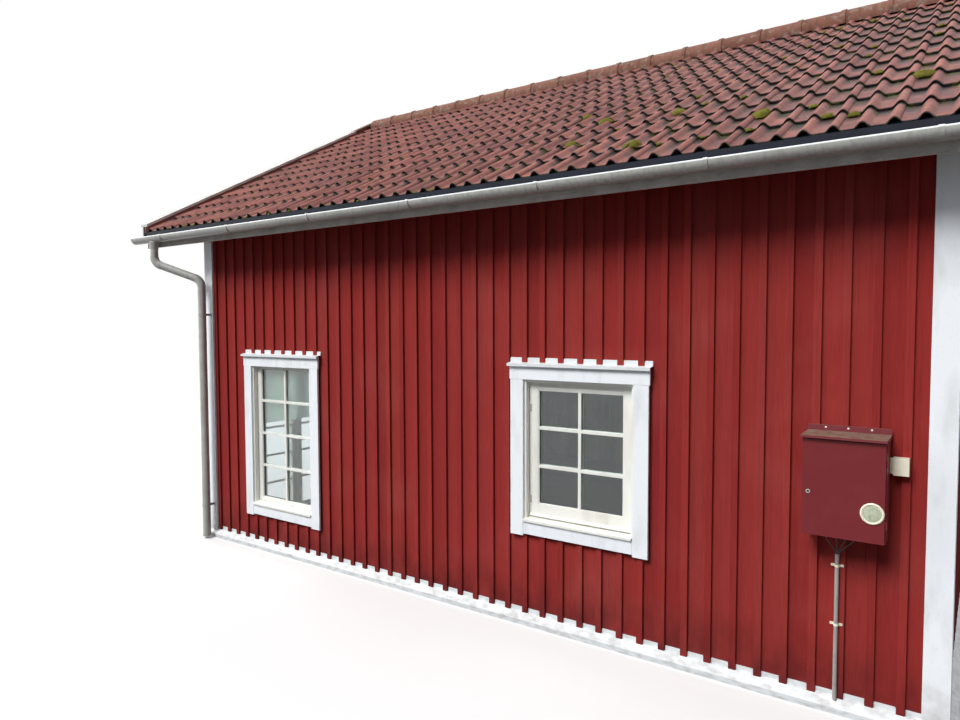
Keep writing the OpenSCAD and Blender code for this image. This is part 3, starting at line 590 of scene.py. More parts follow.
def blind_cloth():
    """Plain-woven roller blind: pale threads 0.6 mm apart, drawn four times as coarse so that they
    show, and thin enough that daylight glows through."""
    made, tree, shader, place = start("plain_woven_blind", 0.95, 0.1)
    waves = []
    for axis in ("Y", "Z"):
        wave = node(tree, "ShaderNodeTexWave", {"Vector": place, "Scale": turns(2.4) / 20}, bands_direction=axis)
        waves.append(wave.outputs["Fac"])
    weave = node(tree, "ShaderNodeMath", dict(enumerate(waves)), operation="MULTIPLY").outputs["Value"]
    thread = node(tree, "ShaderNodeMapRange", {"Value": weave, "To Max": 0.3}).outputs["Result"]
    stain = patches(tree, place, 240, 0.45, 0.75, 0.35)
    lay(tree, shader, linear("#D3DBD2"), [(stain, "#BFC8BC"), (thread, "#A9B2A6")], weave, 0.0003)
    glow = node(tree, "ShaderNodeBsdfTranslucent", {"Color": linear("#E2ECE6")})
    mixed = node(tree, "ShaderNodeMixShader", {0: 0.65, 1: shader.outputs[0], 2: glow.outputs[0]})
    tree.links.new(mixed.outputs[0], tree.nodes["Material Output"].inputs["Surface"])
    return made


def planed_pine(name, tones, size, roughness):
    """Planed pine boards: straight grain along the board, some darker than others, dulled by wear."""
    made, tree, shader, place = start(name, roughness, 0.3)
    grain = patches(tree, place, size, 0.35, 0.70, 0.5, 3.0)
    wear = patches(tree, place, 300, 0.45, 0.75, 0.4)
    lay(tree, shader, by_board(tree, *tones), [(wear, "#6E6254"), (grain, "#5C4A38")], grain, 0.0004)
    return made


def float_glass():
    """Float glass: clear, with the faint grey-green of its iron, and it lets the light through."""
    made, tree, shader, place = start("float_glass", 0.0, 0.5)
    shader.inputs["Base Color"].default_value = linear("#EEF2F2")
    shader.inputs["Transmission Weight"].default_value = 1.0
    shader.inputs["IOR"].default_value = 1.45
    film = patches(tree, place, (120, 120, 300), 0.35, 0.75, 0.06)
    tree.links.new(film, shader.inputs["Roughness"])
    clear = node(tree, "ShaderNodeBsdfTransparent", {"Color": linear("#EEF2F2")})
    rays = node(tree, "ShaderNodeLightPath").outputs["Is Shadow Ray"]
    mixed = node(tree, "ShaderNodeMixShader", {0: rays, 1: shader.outputs[0], 2: clear.outputs[0]})
    tree.links.new(mixed.outputs[0], tree.nodes["Material Output"].inputs["Surface"])
    return made


TRIM_TONES = ("#EAEEF2", "#EFF2F5", "#ECF0F2")
SASH_TONES = ("#E8E7DF", "#ECEBE4", "#E4E3D9")
VERGE_TONES = ("#D4D2CC", "#DCDAD4", "#CFCBC3")
RED = slurry_red()
WHITE_TRIM = brushed_white("white_alkyd_on_trim", TRIM_TONES, "#B8B8B4", 0.55, 0.48)
WHITE_SASH = brushed_white("warm_white_on_joinery", SASH_TONES, "#BDB6A6", 0.2, 0.40)
SHEET = folded_sheet()
TILE = concrete_tile()
RIDGE = ridge_concrete()
MOSS = moss()
VERGE = weathered_paint("chalky_verge_paint", VERGE_TONES, "#7F7466", 0.2)
BARE = bare_plank()
STRIP = black_sheet()
STEEL_WHITE = rainwater_steel()
MAROON = maroon_enamel()
HOOD = dirty_hood()
CREAM = cream_plastic()
READING = hazed_glass()
STEEL = dull_steel()
BRASS = dark_brass()
CONDUIT = grey_conduit()
SHEATH = cable_sheath()
BLIND = blind_cloth()
FLOOR_PINE = planed_pine("worn_floor_pine", ("#7C6A56", "#8B7860", "#6F5F4E"), (200, 4, 4), 0.7)
LINING = planed_pine("lining_pine", ("#9A8468", "#A8927A", "#8C765C"), (4, 4, 180), 0.75)
GLASS = float_glass()


# Cables


def cable_route(i):
    """The points of a cable's route in the construction: the conduit's mouth, the turn above it,
    the turn below the cabinet and the gland."""
    mouth = Vector((CONDUIT_X + (i - 1.5) * CABLE_GAP, CONDUIT_Y, CONDUIT_HIGH.z))
    gland = Vector((CABINET_X + CABLE_X[i], -FRONT_FACE - CABINET_BOX / 2, CABINET_LOW.z))
    return mouth, mouth + Vector((0, 0, CABLE_RISE)), gland - Vector((0, 0, 1.5 * CABLE_RISE)), gland


def eased(start_at, corner, end_at, count):
    """Points of a curve that leaves along one leg of a corner and arrives along the other."""
    shares = [k / (count - 1) for k in range(count)]
    return [start_at.lerp(corner, t).lerp(corner.lerp(end_at, t), t) for t in shares]


def cables():
    """Four sheathed cables from the conduit up into glands under the cabinet, eased at both turns."""
    glands = Shape()
    for i in range(len(CABLE_X)):
        mouth, low, high, gland = cable_route(i)
        middle = low.lerp(high, 0.45)
        path = [mouth, *eased(mouth.lerp(low, 0.1), low, middle, 13)]
        path += [*eased(middle, high, high.lerp(gland, 0.9), 13)[1:], gland]
        cable = Shape()
        cable.tube(path, CABLE_D / 2)
        name = "meter_cable_" + str(i + 1)
        made = piece(cable, name, SHEATH, replaces=["meter_cables"], sharp=60)
        nut = [(0, 0.0042), (0.001, 0.0058), (0.008, 0.0064), (0.008, 0.0075), (0.014, 0.0075)]
        glands.turned(gland - Vector((0, 0, 0.014)), (0, 0, 1), nut, 20)
    piece(glands, "cable_glands", SHEATH, sharp=40)


cables()

# Walls


def under(y):
    """Height of the underside of the roof boarding over a place counted from the ridge."""
    return RIDGE_Z - abs(y) * SLOPE - ROOF_BUILD / math.cos(PITCH) - 0.0002


class Wall:
    """One side of the house as seen from outside: x to the right, y into the wall, z up. halves are
    how far its cladding, its framing and its lining reach to each side, so that they meet at corners."""

    def __init__(self, name, turn, face, halves, top, openings, nodes):
        self.name = name
        self.place = Matrix.Rotation(math.radians(turn), 4, "Z") @ Matrix.Translation((0, -face, 0))
        self.half, self.core_half, self.lining_half = halves
        self.top = top
        self.openings = openings
        self.nodes = nodes

    def outlines(self, left, right, foot):
        """Outlines of a board from left to right, with the wall's openings cut out of it."""
        peak = [(0.0, self.top(0.0))] if left < 0 < right and self.top(0.0) > self.top(0.1) else []
        head = [(right, self.top(right)), *peak, (left, self.top(left))]
        for x0, x1, z0, z1 in self.openings:
            if right <= x0 or left >= x1:
                continue
            if x0 - SLIVER <= left and right <= x1 + SLIVER:
                below = [[(left, foot), (right, foot), (right, z0), (left, z0)]] if z0 > foot else []
                return below + [[(left, z1), (right, z1), *head]]
            if left < x0:
                notch = [(right, foot), (right, z0), (x0, z0), (x0, z1), (right, z1)]
                if z0 <= foot:
                    notch = [(x0, foot), (x0, z1), (right, z1)]
                return [[(left, foot), *notch, *head]]
            notch = [(left, z1), (x1, z1), (x1, z0), (left, z0), (left, foot)]
            if z0 <= foot:
                notch = [(left, z1), (x1, z1), (x1, foot)]
            return [[(right, foot), *head, *notch]]
        return [[(left, foot), (right, foot), *head]]

    def boards(self, half, pitch, width, start_at, y0, y1, foot, spread=0.0):
        """Upright boards at an even pitch, each as deep as y0 to y1 says."""
        shape = Shape(self.place)
        first = math.ceil((-half - start_at - pitch / 2) / pitch)
        last = math.floor((half - start_at + pitch / 2) / pitch)
        for i in range(first, last + 1):
            middle = start_at + i * pitch + chance.uniform(-spread, spread)
            left = max(middle - width / 2, -half)
            right = min(middle + width / 2, half)
            if right - left < 0.01:
                continue
            for outline in self.outlines(left, right, foot):
                shape.prism(outline, y0, y1)
        return shape

    def core(self):
        """The framing and boarding behind the cladding, as wide strips between the openings."""
        shape = Shape(self.place)
        edges = sorted({-self.core_half, self.core_half, *(x for o in self.openings for x in o[:2])})
        for left, right in zip(edges, edges[1:]):
            for outline in self.outlines(left, right, 0.0):
                shape.prism(outline, CLADDING, WALL - LINING_T)
        return shape

    def build(self):
        boards = self.boards(self.half, BATTEN_PITCH, BATTEN_PITCH - 0.004, BATTEN_AT + BATTEN_PITCH / 2,
                             BATTEN_T, CLADDING, BOARD_FOOT)
        battens = self.boards(self.half, BATTEN_PITCH, BATTEN_W, BATTEN_AT, 0.0, BATTEN_T, BOARD_FOOT, 0.003)
        lining = self.boards(self.lining_half, LINING_PITCH, LINING_PITCH - 0.0015, 0.0,
                             WALL - LINING_T, WALL, FLOOR_TOP)
        piece(boards, self.name + "_boards", RED, replaces=self.nodes, bevel=0.0015)
        piece(battens, self.name + "_battens", RED, bevel=0.002)
        piece(self.core(), self.name + "_framing", LINING)
        piece(lining, self.name + "_lining", LINING, bevel=0.0015)


def window_gap(window):
    return (window.middle - WINDOW_W / 2, window.middle + WINDOW_W / 2, window.foot, window.foot + window.height)


def level_top(x):
    return under(FRONT_FACE)


BACK_LOW = LOW._replace(middle=-LOW.middle)
LONG_HALVES = (GABLE_FACE, GABLE_FACE - CLADDING - 0.0005, GABLE_FACE - WALL)
GABLE_HALVES = (FRONT_FACE - CLADDING - 0.0005, FRONT_FACE - WALL, FRONT_FACE - WALL)
FRONT = Wall("front_wall", 0, FRONT_FACE, LONG_HALVES, level_top, [window_gap(TALL), window_gap(LOW)],
             ["front_wall"])
BACK = Wall("back_wall", 180, FRONT_FACE, LONG_HALVES, level_top, [window_gap(BACK_LOW)], ["back_wall"])
LAKE = Wall("left_gable", -90, GABLE_FACE, GABLE_HALVES, under,
            [(DOOR_MIDDLE - DOOR_W / 2, DOOR_MIDDLE + DOOR_W / 2, 0.0, DOOR_H)],
            ["left_gable_front_part", "left_gable_back_part", "left_gable_over_doors"])
RIGHT = Wall("right_gable", 90, GABLE_FACE, GABLE_HALVES, under, [], ["right_gable_wall"])
for wall in (FRONT, BACK, LAKE, RIGHT):
    wall.build()


def nail(shape, x, y, z, out):
    """Head of a nail, a low dome on a face that looks along out."""
    shape.turned((x, y, z), out, [(-0.001, 0.0042), (0.0003, 0.0042), (0.0010, 0.0026), (0.0012, 0.0006)], 10)


def corners():
    """Corner boards: a wide one on the long side, a narrower one behind it, with their nails."""
    boards, nails = Shape(), Shape()
    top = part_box("corner_boards")[1].z
    for sx in (-1, 1):
        for sy in (-1, 1):
            x0, x1 = sorted((sx * (GABLE_FACE + TRIM), sx * (GABLE_FACE + TRIM - CORNER_W)))
            y0, y1 = sorted((sy * FRONT_FACE, sy * (FRONT_FACE + TRIM)))
            boards.block((x0, y0, BASE_TOP), (x1, y1, top))
            x0, x1 = sorted((sx * GABLE_FACE, sx * (GABLE_FACE + TRIM)))
            y0, y1 = sorted((sy * (FRONT_FACE - 0.001), sy * (FRONT_FACE + TRIM - CORNER_W)))
            boards.block((x0, y0, BASE_TOP), (x1, y1, top))
            for row in range(7):
                z = BASE_TOP + 0.08 + row * 0.55 + chance.uniform(-0.01, 0.01)
                for inset in (0.028, CORNER_W - 0.028):
                    nail(nails, sx * (GABLE_FACE + TRIM - inset), sy * (FRONT_FACE + TRIM), z, (0, sy, 0))
                for inset in (0.045, CORNER_W - 0.025):
                    nail(nails, sx * (GABLE_FACE + TRIM), sy * (FRONT_FACE + TRIM - inset), z, (sx, 0, 0))
    piece(boards, "corner_trim_boards", WHITE_TRIM, replaces=["corner_boards"], bevel=0.002)
    piece(nails, "corner_nails", WHITE_TRIM, sharp=50)


corners()


def tongues(shape, left, right, foot, height, y, foot_y, chamfer=0.007):
    """Upright tabs of a flashing, one in each bay between battens, with cut corners."""
    first = math.ceil((left - BATTEN_AT) / BATTEN_PITCH) - 1
    last = math.floor((right - BATTEN_AT) / BATTEN_PITCH)
    for i in range(first, last + 1):
        x0 = max(BATTEN_AT + i * BATTEN_PITCH + BATTEN_W / 2 - 0.002, left)
        x1 = min(BATTEN_AT + (i + 1) * BATTEN_PITCH - BATTEN_W / 2 + 0.002, right)
        if x1 - x0 < 3 * chamfer:
            continue
        top = foot + height
        outline = [(x0, foot), (x1, foot), (x1, top - chamfer), (x1 - chamfer, top), (x0 + chamfer, top), (x0, top - chamfer)]
        shape.prism(outline, foot_y, y)
        shape.block((x0, 0.0, foot - 0.002), (x1, y, foot + 0.001))


def base_tongues():
    """Tabs of the flashing at the foot of the walls, turned up between the battens."""
    for wall in (FRONT, BACK, LAKE, RIGHT):
        shape = Shape(wall.place)
        stretches = [(-wall.half + 0.01, wall.half - 0.01)]
        if wall is LAKE:
            left, right = DOOR_MIDDLE - DOOR_W / 2 - 0.13, DOOR_MIDDLE + DOOR_W / 2 + 0.13
            stretches = [(-wall.half + 0.01, left), (right, wall.half - 0.01)]
        for left, right in stretches:
            tongues(shape, left, right, BASE_TOP, 0.036, BATTEN_T, BATTEN_T - 0.003)
        piece(shape, wall.name + "_base_tabs", SHEET)


base_tongues()
dress("base_flashing", SHEET, 0.0015)

# Joinery


def frame_of(shape, window):
    """Outer frame of a window: two jambs, a head and a bottom member that falls outwards."""
    left, right, foot, head = window_gap(window)
    shape.block((left, 0, foot), (left + FRAME_M, FRAME_D, head))
    shape.block((right - FRAME_M, 0, foot), (right, FRAME_D, head))
    shape.block((left + FRAME_M, 0, head - FRAME_M), (right - FRAME_M, FRAME_D, head))
    fall = [(0, foot), (FRAME_D, foot), (FRAME_D, foot + FRAME_M), (SASH_IN, foot + FRAME_M), (0, foot + 0.02)]
    shape.prism(fall, left + FRAME_M, right - FRAME_M, "x")


def sill_of(shape, window, casing_top):
    """Sill board with a nose over the bottom casing and a drip groove under it."""
    half = WINDOW_W / 2 - CASING_LAP - 0.004
    inner = window.foot + FRAME_M + 0.003
    nose = -TRIM - 0.013
    fall = [(SASH_IN, inner), (nose, casing_top + 0.018), (nose, casing_top - 0.002), (nose + 0.010, casing_top - 0.002),
            (nose + 0.010, casing_top + 0.003), (0, casing_top + 0.003), (SASH_IN, inner - 0.014)]
    shape.prism(fall, window.middle - half, window.middle + half, "x")


def sash_of(shape, low, high, y0, y1, window):
    """Sash of a window from low to high in (x, z): stiles, rails, weather bar, beads and glazing bars."""
    (left, foot), (right, head) = low, high
    inner_low = (left + window.stile, foot + window.bottom_rail)
    inner_high = (right - window.stile, head - window.top_rail)
    shape.block((left, y0, foot), (left + window.stile, y1, head))
    shape.block((right - window.stile, y0, foot), (right, y1, head))
    shape.block((left + window.stile, y0 + 0.0005, foot), (right - window.stile, y1, inner_low[1]))
    shape.block((left + window.stile, y0 + 0.0005, inner_high[1]), (right - window.stile, y1, head))
    bars_of(shape, inner_low, inner_high, y0, y1, window.panes)
    if window.bottom_rail > 0.08:
        weather = [(y0 + 0.001, foot + 0.034), (y0 - 0.016, foot + 0.020), (y0 - 0.016, foot + 0.010),
                   (y0 - 0.011, foot + 0.010), (y0 - 0.011, foot + 0.014), (y0 + 0.001, foot + 0.014)]
        shape.prism(weather, left + 0.004, right - 0.004, "x")


def bars_of(shape, low, high, y0, y1, panes, split=True):
    """Beads round a pane and the bars that divide it, on both faces of the glass."""
    (left, foot), (right, head) = low, high
    middle = (y0 + y1) / 2
    for outer, glass in ((y0 + 0.004, middle - PANE_GAP - PANE_T / 2), (y1 - 0.004, middle + PANE_GAP + PANE_T / 2)):
        near, far = min(outer, glass), max(outer, glass)
        shape.block((left, near, foot), (left + BEAD, far, head))
        shape.block((right - BEAD, near, foot), (right, far, head))
        shape.block((left + BEAD, near, foot), (right - BEAD, far, foot + BEAD))
        shape.block((left + BEAD, near, head - BEAD), (right - BEAD, far, head))
        for i in range(1, panes):
            z = foot + (head - foot) * i / panes
            shape.block((left + BEAD, near, z - BAR_W / 2), (right - BEAD, far, z + BAR_W / 2))
        if split:
            x = (left + right) / 2
            near -= 0.0006 if outer == y0 + 0.004 else 0
            shape.block((x - BAR_W / 2, near, foot + BEAD), (x + BAR_W / 2, far, head - BEAD))


def casing_of(shape, nails, window, casing_top):
    """Casing boards: a head with ears, two sides that run past the bottom board, and their nails."""
    half = WINDOW_W / 2 - CASING_LAP
    x = window.middle
    ear = half + CASING_W + EAR
    shape.block((x - ear, -TRIM, OPENING_TOP), (x + ear, 0, OPENING_TOP + CASING_W))
    for side in (-1, 1):
        middle = x + side * (half + CASING_W / 2)
        foot = casing_top - 0.121
        shape.block((middle - CASING_W / 2, -TRIM, foot), (middle + CASING_W / 2, 0, OPENING_TOP - 0.001))
        rows = round((OPENING_TOP - foot) / 0.5)
        for row in range(rows + 1):
            z = foot + 0.05 + (OPENING_TOP - foot - 0.10) * row / rows
            for across in (-0.035, 0.035):
                nail(nails, middle + across, -TRIM, z, (0, -1, 0))
        nail(nails, middle, -TRIM, OPENING_TOP + 0.030, (0, -1, 0))
        nail(nails, middle, -TRIM, OPENING_TOP + 0.090, (0, -1, 0))
    shape.block((x - half + 0.001, -TRIM + 0.001, casing_top - 0.105), (x + half - 0.001, 0, casing_top))


def flashing_of(shape, middle, half, top):
    """Sheet over a head casing: a fall to a turned-down lip, and tongues up the boards."""
    reach = half + CASING_W + 0.018
    lip = -TRIM - 0.026
    fall = [(BATTEN_T, top + 0.022), (lip, top + 0.008), (lip, top - 0.014), (lip + 0.003, top - 0.014),
            (lip + 0.003, top + 0.003), (BATTEN_T, top + 0.016)]
    shape.prism(fall, middle - reach, middle + reach, "x")
    tongues(shape, middle - reach, middle + reach, top + 0.015, 0.040, BATTEN_T, 0.010)


def glazing(panes, spacers_and_gap_shade, low, high, y):
    """Two panes held apart by a dark spacer that shows as a line just inside the beads."""
    for side in (-1, 1):
        middle = y + side * PANE_GAP
        panes.block((low[0], middle - PANE_T / 2, low[1]), (high[0], middle + PANE_T / 2, high[1]))
    near, far = y - PANE_GAP + PANE_T / 2 + 0.0002, y + PANE_GAP - PANE_T / 2 - 0.0002
    spacers_and_gap_shade.block((low[0], near, low[1]), (low[0] + SPACER_W, far, high[1]))
    spacers_and_gap_shade.block((high[0] - SPACER_W, near, low[1]), (high[0], far, high[1]))
    spacers_and_gap_shade.block((low[0] + SPACER_W, near, low[1]), (high[0] - SPACER_W, far, low[1] + SPACER_W))
    spacers_and_gap_shade.block((low[0] + SPACER_W, near, high[1] - SPACER_W), (high[0] - SPACER_W, far, high[1]))


def gap_shade_of(shape, low, high):
    """Blocks of blue-black sheet that fill the gap round a sash, a little behind its face: painted shade of the gap."""
    near, far = SASH_IN + 0.006, SASH_IN + SASH_T - 0.006
    (left, foot), (right, head) = low, high
    shape.block((left - 0.003, near, foot - 0.004), (left, far, head + 0.005))
    shape.block((right, near, foot - 0.004), (right + 0.003, far, head + 0.005))
    shape.block((left, near, head), (right, far, head + 0.005))
    shape.block((left, near, foot - 0.004), (right, far, foot))


def hinges_of(shape, window):
    """Small steel hinge leaves and pins in the gap at the left of a sash."""
    x = window.middle - WINDOW_W / 2 + FRAME_M + 0.0015
    for z in (1.017, 1.760):
        shape.turned((x, SASH_IN - 0.003, z - 0.035), (0, 0, 1), [(0, 0.004), (0.002, 0.005), (0.068, 0.005), (0.070, 0.004)], 12)
        shape.block((x, SASH_IN - 0.0025, z - 0.030), (x + 0.022, SASH_IN + 0.0005, z + 0.030))


def windows_on(wall, windows, tops, nodes):
    """Frames, sashes, glass, casings and flashings of the windows on one wall."""
    frames, sashes, panes, spacers_and_gap_shade, casings, nails, flashings, hinges = (Shape(wall.place) for _ in range(8))
    for window, casing_top in zip(windows, tops):
        left, right, foot, head = window_gap(window)
        frame_of(frames, window)
        sill_of(frames, window, casing_top)
        low = (left + FRAME_M + 0.003, foot + FRAME_M + 0.004)
        high = (right - FRAME_M - 0.003, head - FRAME_M - 0.005)
        sash_of(sashes, low, high, SASH_IN, SASH_IN + SASH_T, window)
        pane_low = (low[0] + window.stile, low[1] + window.bottom_rail)
        pane_high = (high[0] - window.stile, high[1] - window.top_rail)
        glazing(panes, spacers_and_gap_shade, pane_low, pane_high, SASH_IN + SASH_T / 2)
        # Painted shade: dark blocks fill the gap round each sash
        gap_shade_of(spacers_and_gap_shade, low, high)
        casing_of(casings, nails, window, casing_top)
        flashing_of(flashings, window.middle, WINDOW_W / 2 - CASING_LAP, OPENING_TOP + CASING_W)
        if window.panes == LOW.panes:
            hinges_of(hinges, window)
    side = wall.name.split("_")[0]
    piece(frames, side + "_frame_joinery", WHITE_SASH, replaces=[nodes[0]], bevel=0.0015)
    piece(sashes, side + "_sash_joinery", WHITE_SASH, replaces=[nodes[1]], bevel=0.0015)
    piece(panes, side + "_panes", GLASS, replaces=[nodes[2]])
    # This piece holds the glazing spacers and the dark blocks of painted shade in the sash gaps
    piece(spacers_and_gap_shade, side + "_spacers", STRIP)
    piece(casings, side + "_casing_boards", WHITE_TRIM, replaces=[nodes[3]], bevel=0.0025)
    piece(nails, side + "_casing_nails", WHITE_TRIM, sharp=50)
    piece(flashings, side + "_flashing_sheets", SHEET, replaces=[nodes[4]], bevel=0.0008)
    piece(hinges, side + "_sash_hinges", STEEL)


windows_on(FRONT, [TALL, LOW], [TALL.foot + 0.005, LOW.foot + 0.015],
           ["front_window_frames", "front_window_sashes", "front_window_glass", "front_window_casings",
            "front_head_flashings"])
windows_on(BACK, [BACK_LOW], [LOW.foot + 0.015],
           ["back_window_frame", "back_window_sash", "back_window_glass", "back_window_casing", "back_head_flashing"])


def lake_doors():
    """Glazing bars of the two leaves of the lake doors."""
    for side in ("right", "left"):
        low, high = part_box("lake_door_" + side + "_glass")
        bars = Shape(LAKE.place)
        bars_of(bars, (-high.y, low.z), (-low.y, high.z), 0.0, 0.056, 5, False)
        name = "lake_door_" + side + "_bars"
        piece(bars, name, WHITE_SASH, body="lake_" + side + "_leaf", bevel=0.0015)


lake_doors()
for name in ("lake_door_frame", "lake_door_right_leaf", "lake_door_left_leaf", "door_blind_roller"):
    dress(name, WHITE_SASH, 0.002)
for name in ("lake_door_right_glass", "lake_door_left_glass"):
    dress(name, GLASS)
dress("lake_door_casing", WHITE_TRIM, 0.002)
dress("lake_door_handle", STEEL, 0.001)
dress("door_blind", BLIND)


def floor_boards():
    """Floor of boards that run from gable to gable."""
    low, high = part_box("floor")
    shape = Shape()
    count = round((high.y - low.y) / 0.12)
    width = (high.y - low.y) / count
    for i in range(count):
        y = low.y + i * width
        shape.block((low.x, y + 0.0008, low.z), (high.x, y + width - 0.0008, high.z))
    piece(shape, "floor_planks", FLOOR_PINE, replaces=["floor"], bevel=0.0015)


floor_boards()

# Roof


def on_roof(x, s, h, side=1):
    """A point at x, s metres up the slope from the tile noses and h above the tile surface."""
    y = -EAVE_Y + s * math.cos(PITCH) - h * math.sin(PITCH)
    return Vector((x, side * y, EAVE_Z + s * math.sin(PITCH) + h * math.cos(PITCH)))


def roll_at(u):
    """Height of the rolls over the pans, from 0 to 1, at a place across a tile."""
    away = min(abs(u - crest) for crest in ROLLS)
    return (0.5 + 0.5 * math.cos(math.pi * away / ROLL_HALF)) ** 0.65 if away < ROLL_HALF else 0.0


def tile_rings(x, cut, s, length, side, lean, drop):
    """Sections of one tile from its nose up, each a closed ring, with a mark that the tile material uses
    for grey wear in the pans and for painted shadow under the next nose and on the nose face and underside.
    cut gives the part of the cover width that the tile fills, since those at the verges are cut."""
    across = [cut[0] + (cut[1] - cut[0]) * i / TILE_STEPS for i in range(TILE_STEPS + 1)]
    rings, marks = [], []
    for part, dip in ((0.0, 0.004), (0.03, 0.0), (0.55, 0.0), (0.82, 0.0), (1.0, 0.0), (1.0 + LAP / length, 0.0)):
        along = part * length
        # edge marks the nose ring and the tile's top under the next nose, which the tile material turns into painted
        # shadow
        edge = {0.0: 0.75, 1.0: 1.0}.get(part, 0.0)
        fall = LIFT * along / length
        ring, mark = [], []
        for i, u in enumerate(across):
            roll = roll_at(u)
            h = CREST - ROLL_RISE * (1 - roll) - fall - dip + drop + lean * (u / TILE_W - 0.5)
            ring.append(on_roof(x + u, s + along, h - (SEAM_STEP if i == 0 else 0), side))
            mark.append(max((1 - roll) * (0.15 + 0.85 * min(part, 1.0) ** 2), edge))
        for u in reversed(across[::2]):
            roll = roll_at(u)
            thick = PAN_T + (ROLL_T - PAN_T) * roll - dip
            h = CREST - ROLL_RISE * (1 - roll) - fall - thick + drop + lean * (u / TILE_W - 0.5)
            ring.append(on_roof(x + u, s + along, h, side))
            # Undersides are fully marked, so they get painted shadow
            mark.append(1.0)
        rings.append(ring)
        marks += mark
    return rings, marks


def tiles(side, name, node_name):
    """One slope of double-roll tiles, in courses from the eave up."""
    shape = Shape()
    columns = round(2 * ROOF_X / TILE_W)
    for course in range(COURSES):
        for column in range(columns):
            lean = chance.gauss(0, 0.0012)
            drop = chance.gauss(0, 0.0012)
            s = max(course * GAUGE + chance.gauss(0, 0.002), 0.0)
            x = -ROOF_X + TILE_START + column * TILE_W
            cut = (-TILE_START if column == 0 else 0.0, TILE_W - (TILE_START if column == columns - 1 else 0.0015))
            rings, marks = tile_rings(x, cut, s, GAUGE, side, lean, drop)
            shape.loft(rings, marks)
    return piece(shape, name, TILE, replaces=[node_name], sharp=50)


tiles(1, "front_tiles", "front_roof_slope")
tiles(-1, "back_tiles", "back_roof_slope")


def cushion(shape, x, s, side, size):
    """A lump of moss, wider than high, that sits at x, s metres up a slope."""
    place = on_roof(x, s, CREST - ROLL_RISE - 0.4 * LIFT, side)
    seed = Vector((x, s, side)) * 7.0
    rings = []
    for level in range(7):
        a = math.radians(-25 + 110 * level / 6)
        ring = []
        for i in range(16):
            t = 2 * math.pi * i / 16
            way = Vector((1.15 * math.cos(t) * math.cos(a), 0.8 * math.sin(t) * math.cos(a), 0.75 * math.sin(a)))
            ring.append(place + way * size * (1 + 0.35 * noise.noise(way * 2.2 + seed)))
        rings.append(ring)
    shape.loft(rings)


def moss_cushions():
    """Cushions of moss where the photo shows them, some like them on the back slope, and small
    tufts in the pans just below the noses of other courses."""
    shape = Shape()
    for i, (x, s, size) in enumerate(MOSS_SPOTS):
        cushion(shape, x, s + 0.02, 1, size)
        if i % 2 == 0:
            cushion(shape, -x, s + GAUGE, -1, 0.8 * size)
    for side in (1, -1):
        for _ in range(MOSS_TUFTS):
            column = chance.randrange(1, round(2 * ROOF_X / TILE_W) - 1)
            pan = chance.choice((0.042, 0.192)) + chance.uniform(-0.012, 0.012)
            x = -ROOF_X + TILE_START + column * TILE_W + pan
            s = chance.randrange(1, COURSES) * GAUGE - 0.006
            cushion(shape, x, s, side, chance.uniform(0.014, 0.026))
        for column in range(1, EAVE_TUFTS):
            x = -ROOF_X + TILE_START + column * TILE_W + chance.uniform(0.02, 0.26)
            cushion(shape, x, 0.012, side, chance.uniform(0.014, 0.024))
    piece(shape, "moss_cushions", MOSS, sharp=80)


moss_cushions()


def boarding():
    """Boarding under the tiles, seen from below at the eaves and verges and from inside."""
    for side, name in ((1, "front_roof_boarding"), (-1, "back_roof_boarding")):
        shape = Shape()
        bottom = -ROOF_BUILD
        run = (EAVE_Y - 0.050) / math.cos(PITCH)
        count = round(run / 0.120)
        for i in range(count):
            s0 = 0.050 / math.cos(PITCH) + i * run / count
            s1 = s0 + run / count - 0.002
            shape.loft([[on_roof(x, s0, bottom, side), on_roof(x, s1, bottom, side), on_roof(x, s1, bottom + 0.022, side),
                         on_roof(x, s0, bottom + 0.022, side)] for x in (-ROOF_X + 0.002, ROOF_X - 0.002)])
        piece(shape, name, VERGE, bevel=0.0015)


boarding()


def ridge():
    """Ridge caps: each swells at one end into a lap that reaches over the start of the next."""
    end = ROOF_X - 0.080
    count = round(2 * end / CAP_L)
    length = (2 * end - CAP_OVER) / count
    profile = [(0.0, 0.0), (length + CAP_OVER - CAP_LAP - 0.010, 0.0), (length + CAP_OVER - CAP_LAP, CAP_SWELL - 0.002),
               (length + CAP_OVER - 0.003, CAP_SWELL), (length + CAP_OVER, CAP_SWELL - 0.004)]
    shape = Shape()
    for i in range(count):
        x = -end + i * length
        tilt = -abs(chance.gauss(0, 0.0012))
        rings = []
        for along, grow in profile:
            outer, inner = [], []
            for step in range(21):
                a = math.radians(-20 + 220 * step / 20)
                for ring, r in ((outer, CAP_R + grow), (inner, CAP_R + grow - CAP_T)):
                    ring.append((x + along, -r * math.cos(a), CAP_MIDDLE + tilt + r * math.sin(a)))
            rings.append(outer + inner[::-1])
        shape.loft(rings)
    piece(shape, "ridge_tiles", RIDGE, replaces=["ridge_caps"], sharp=50)


ridge()


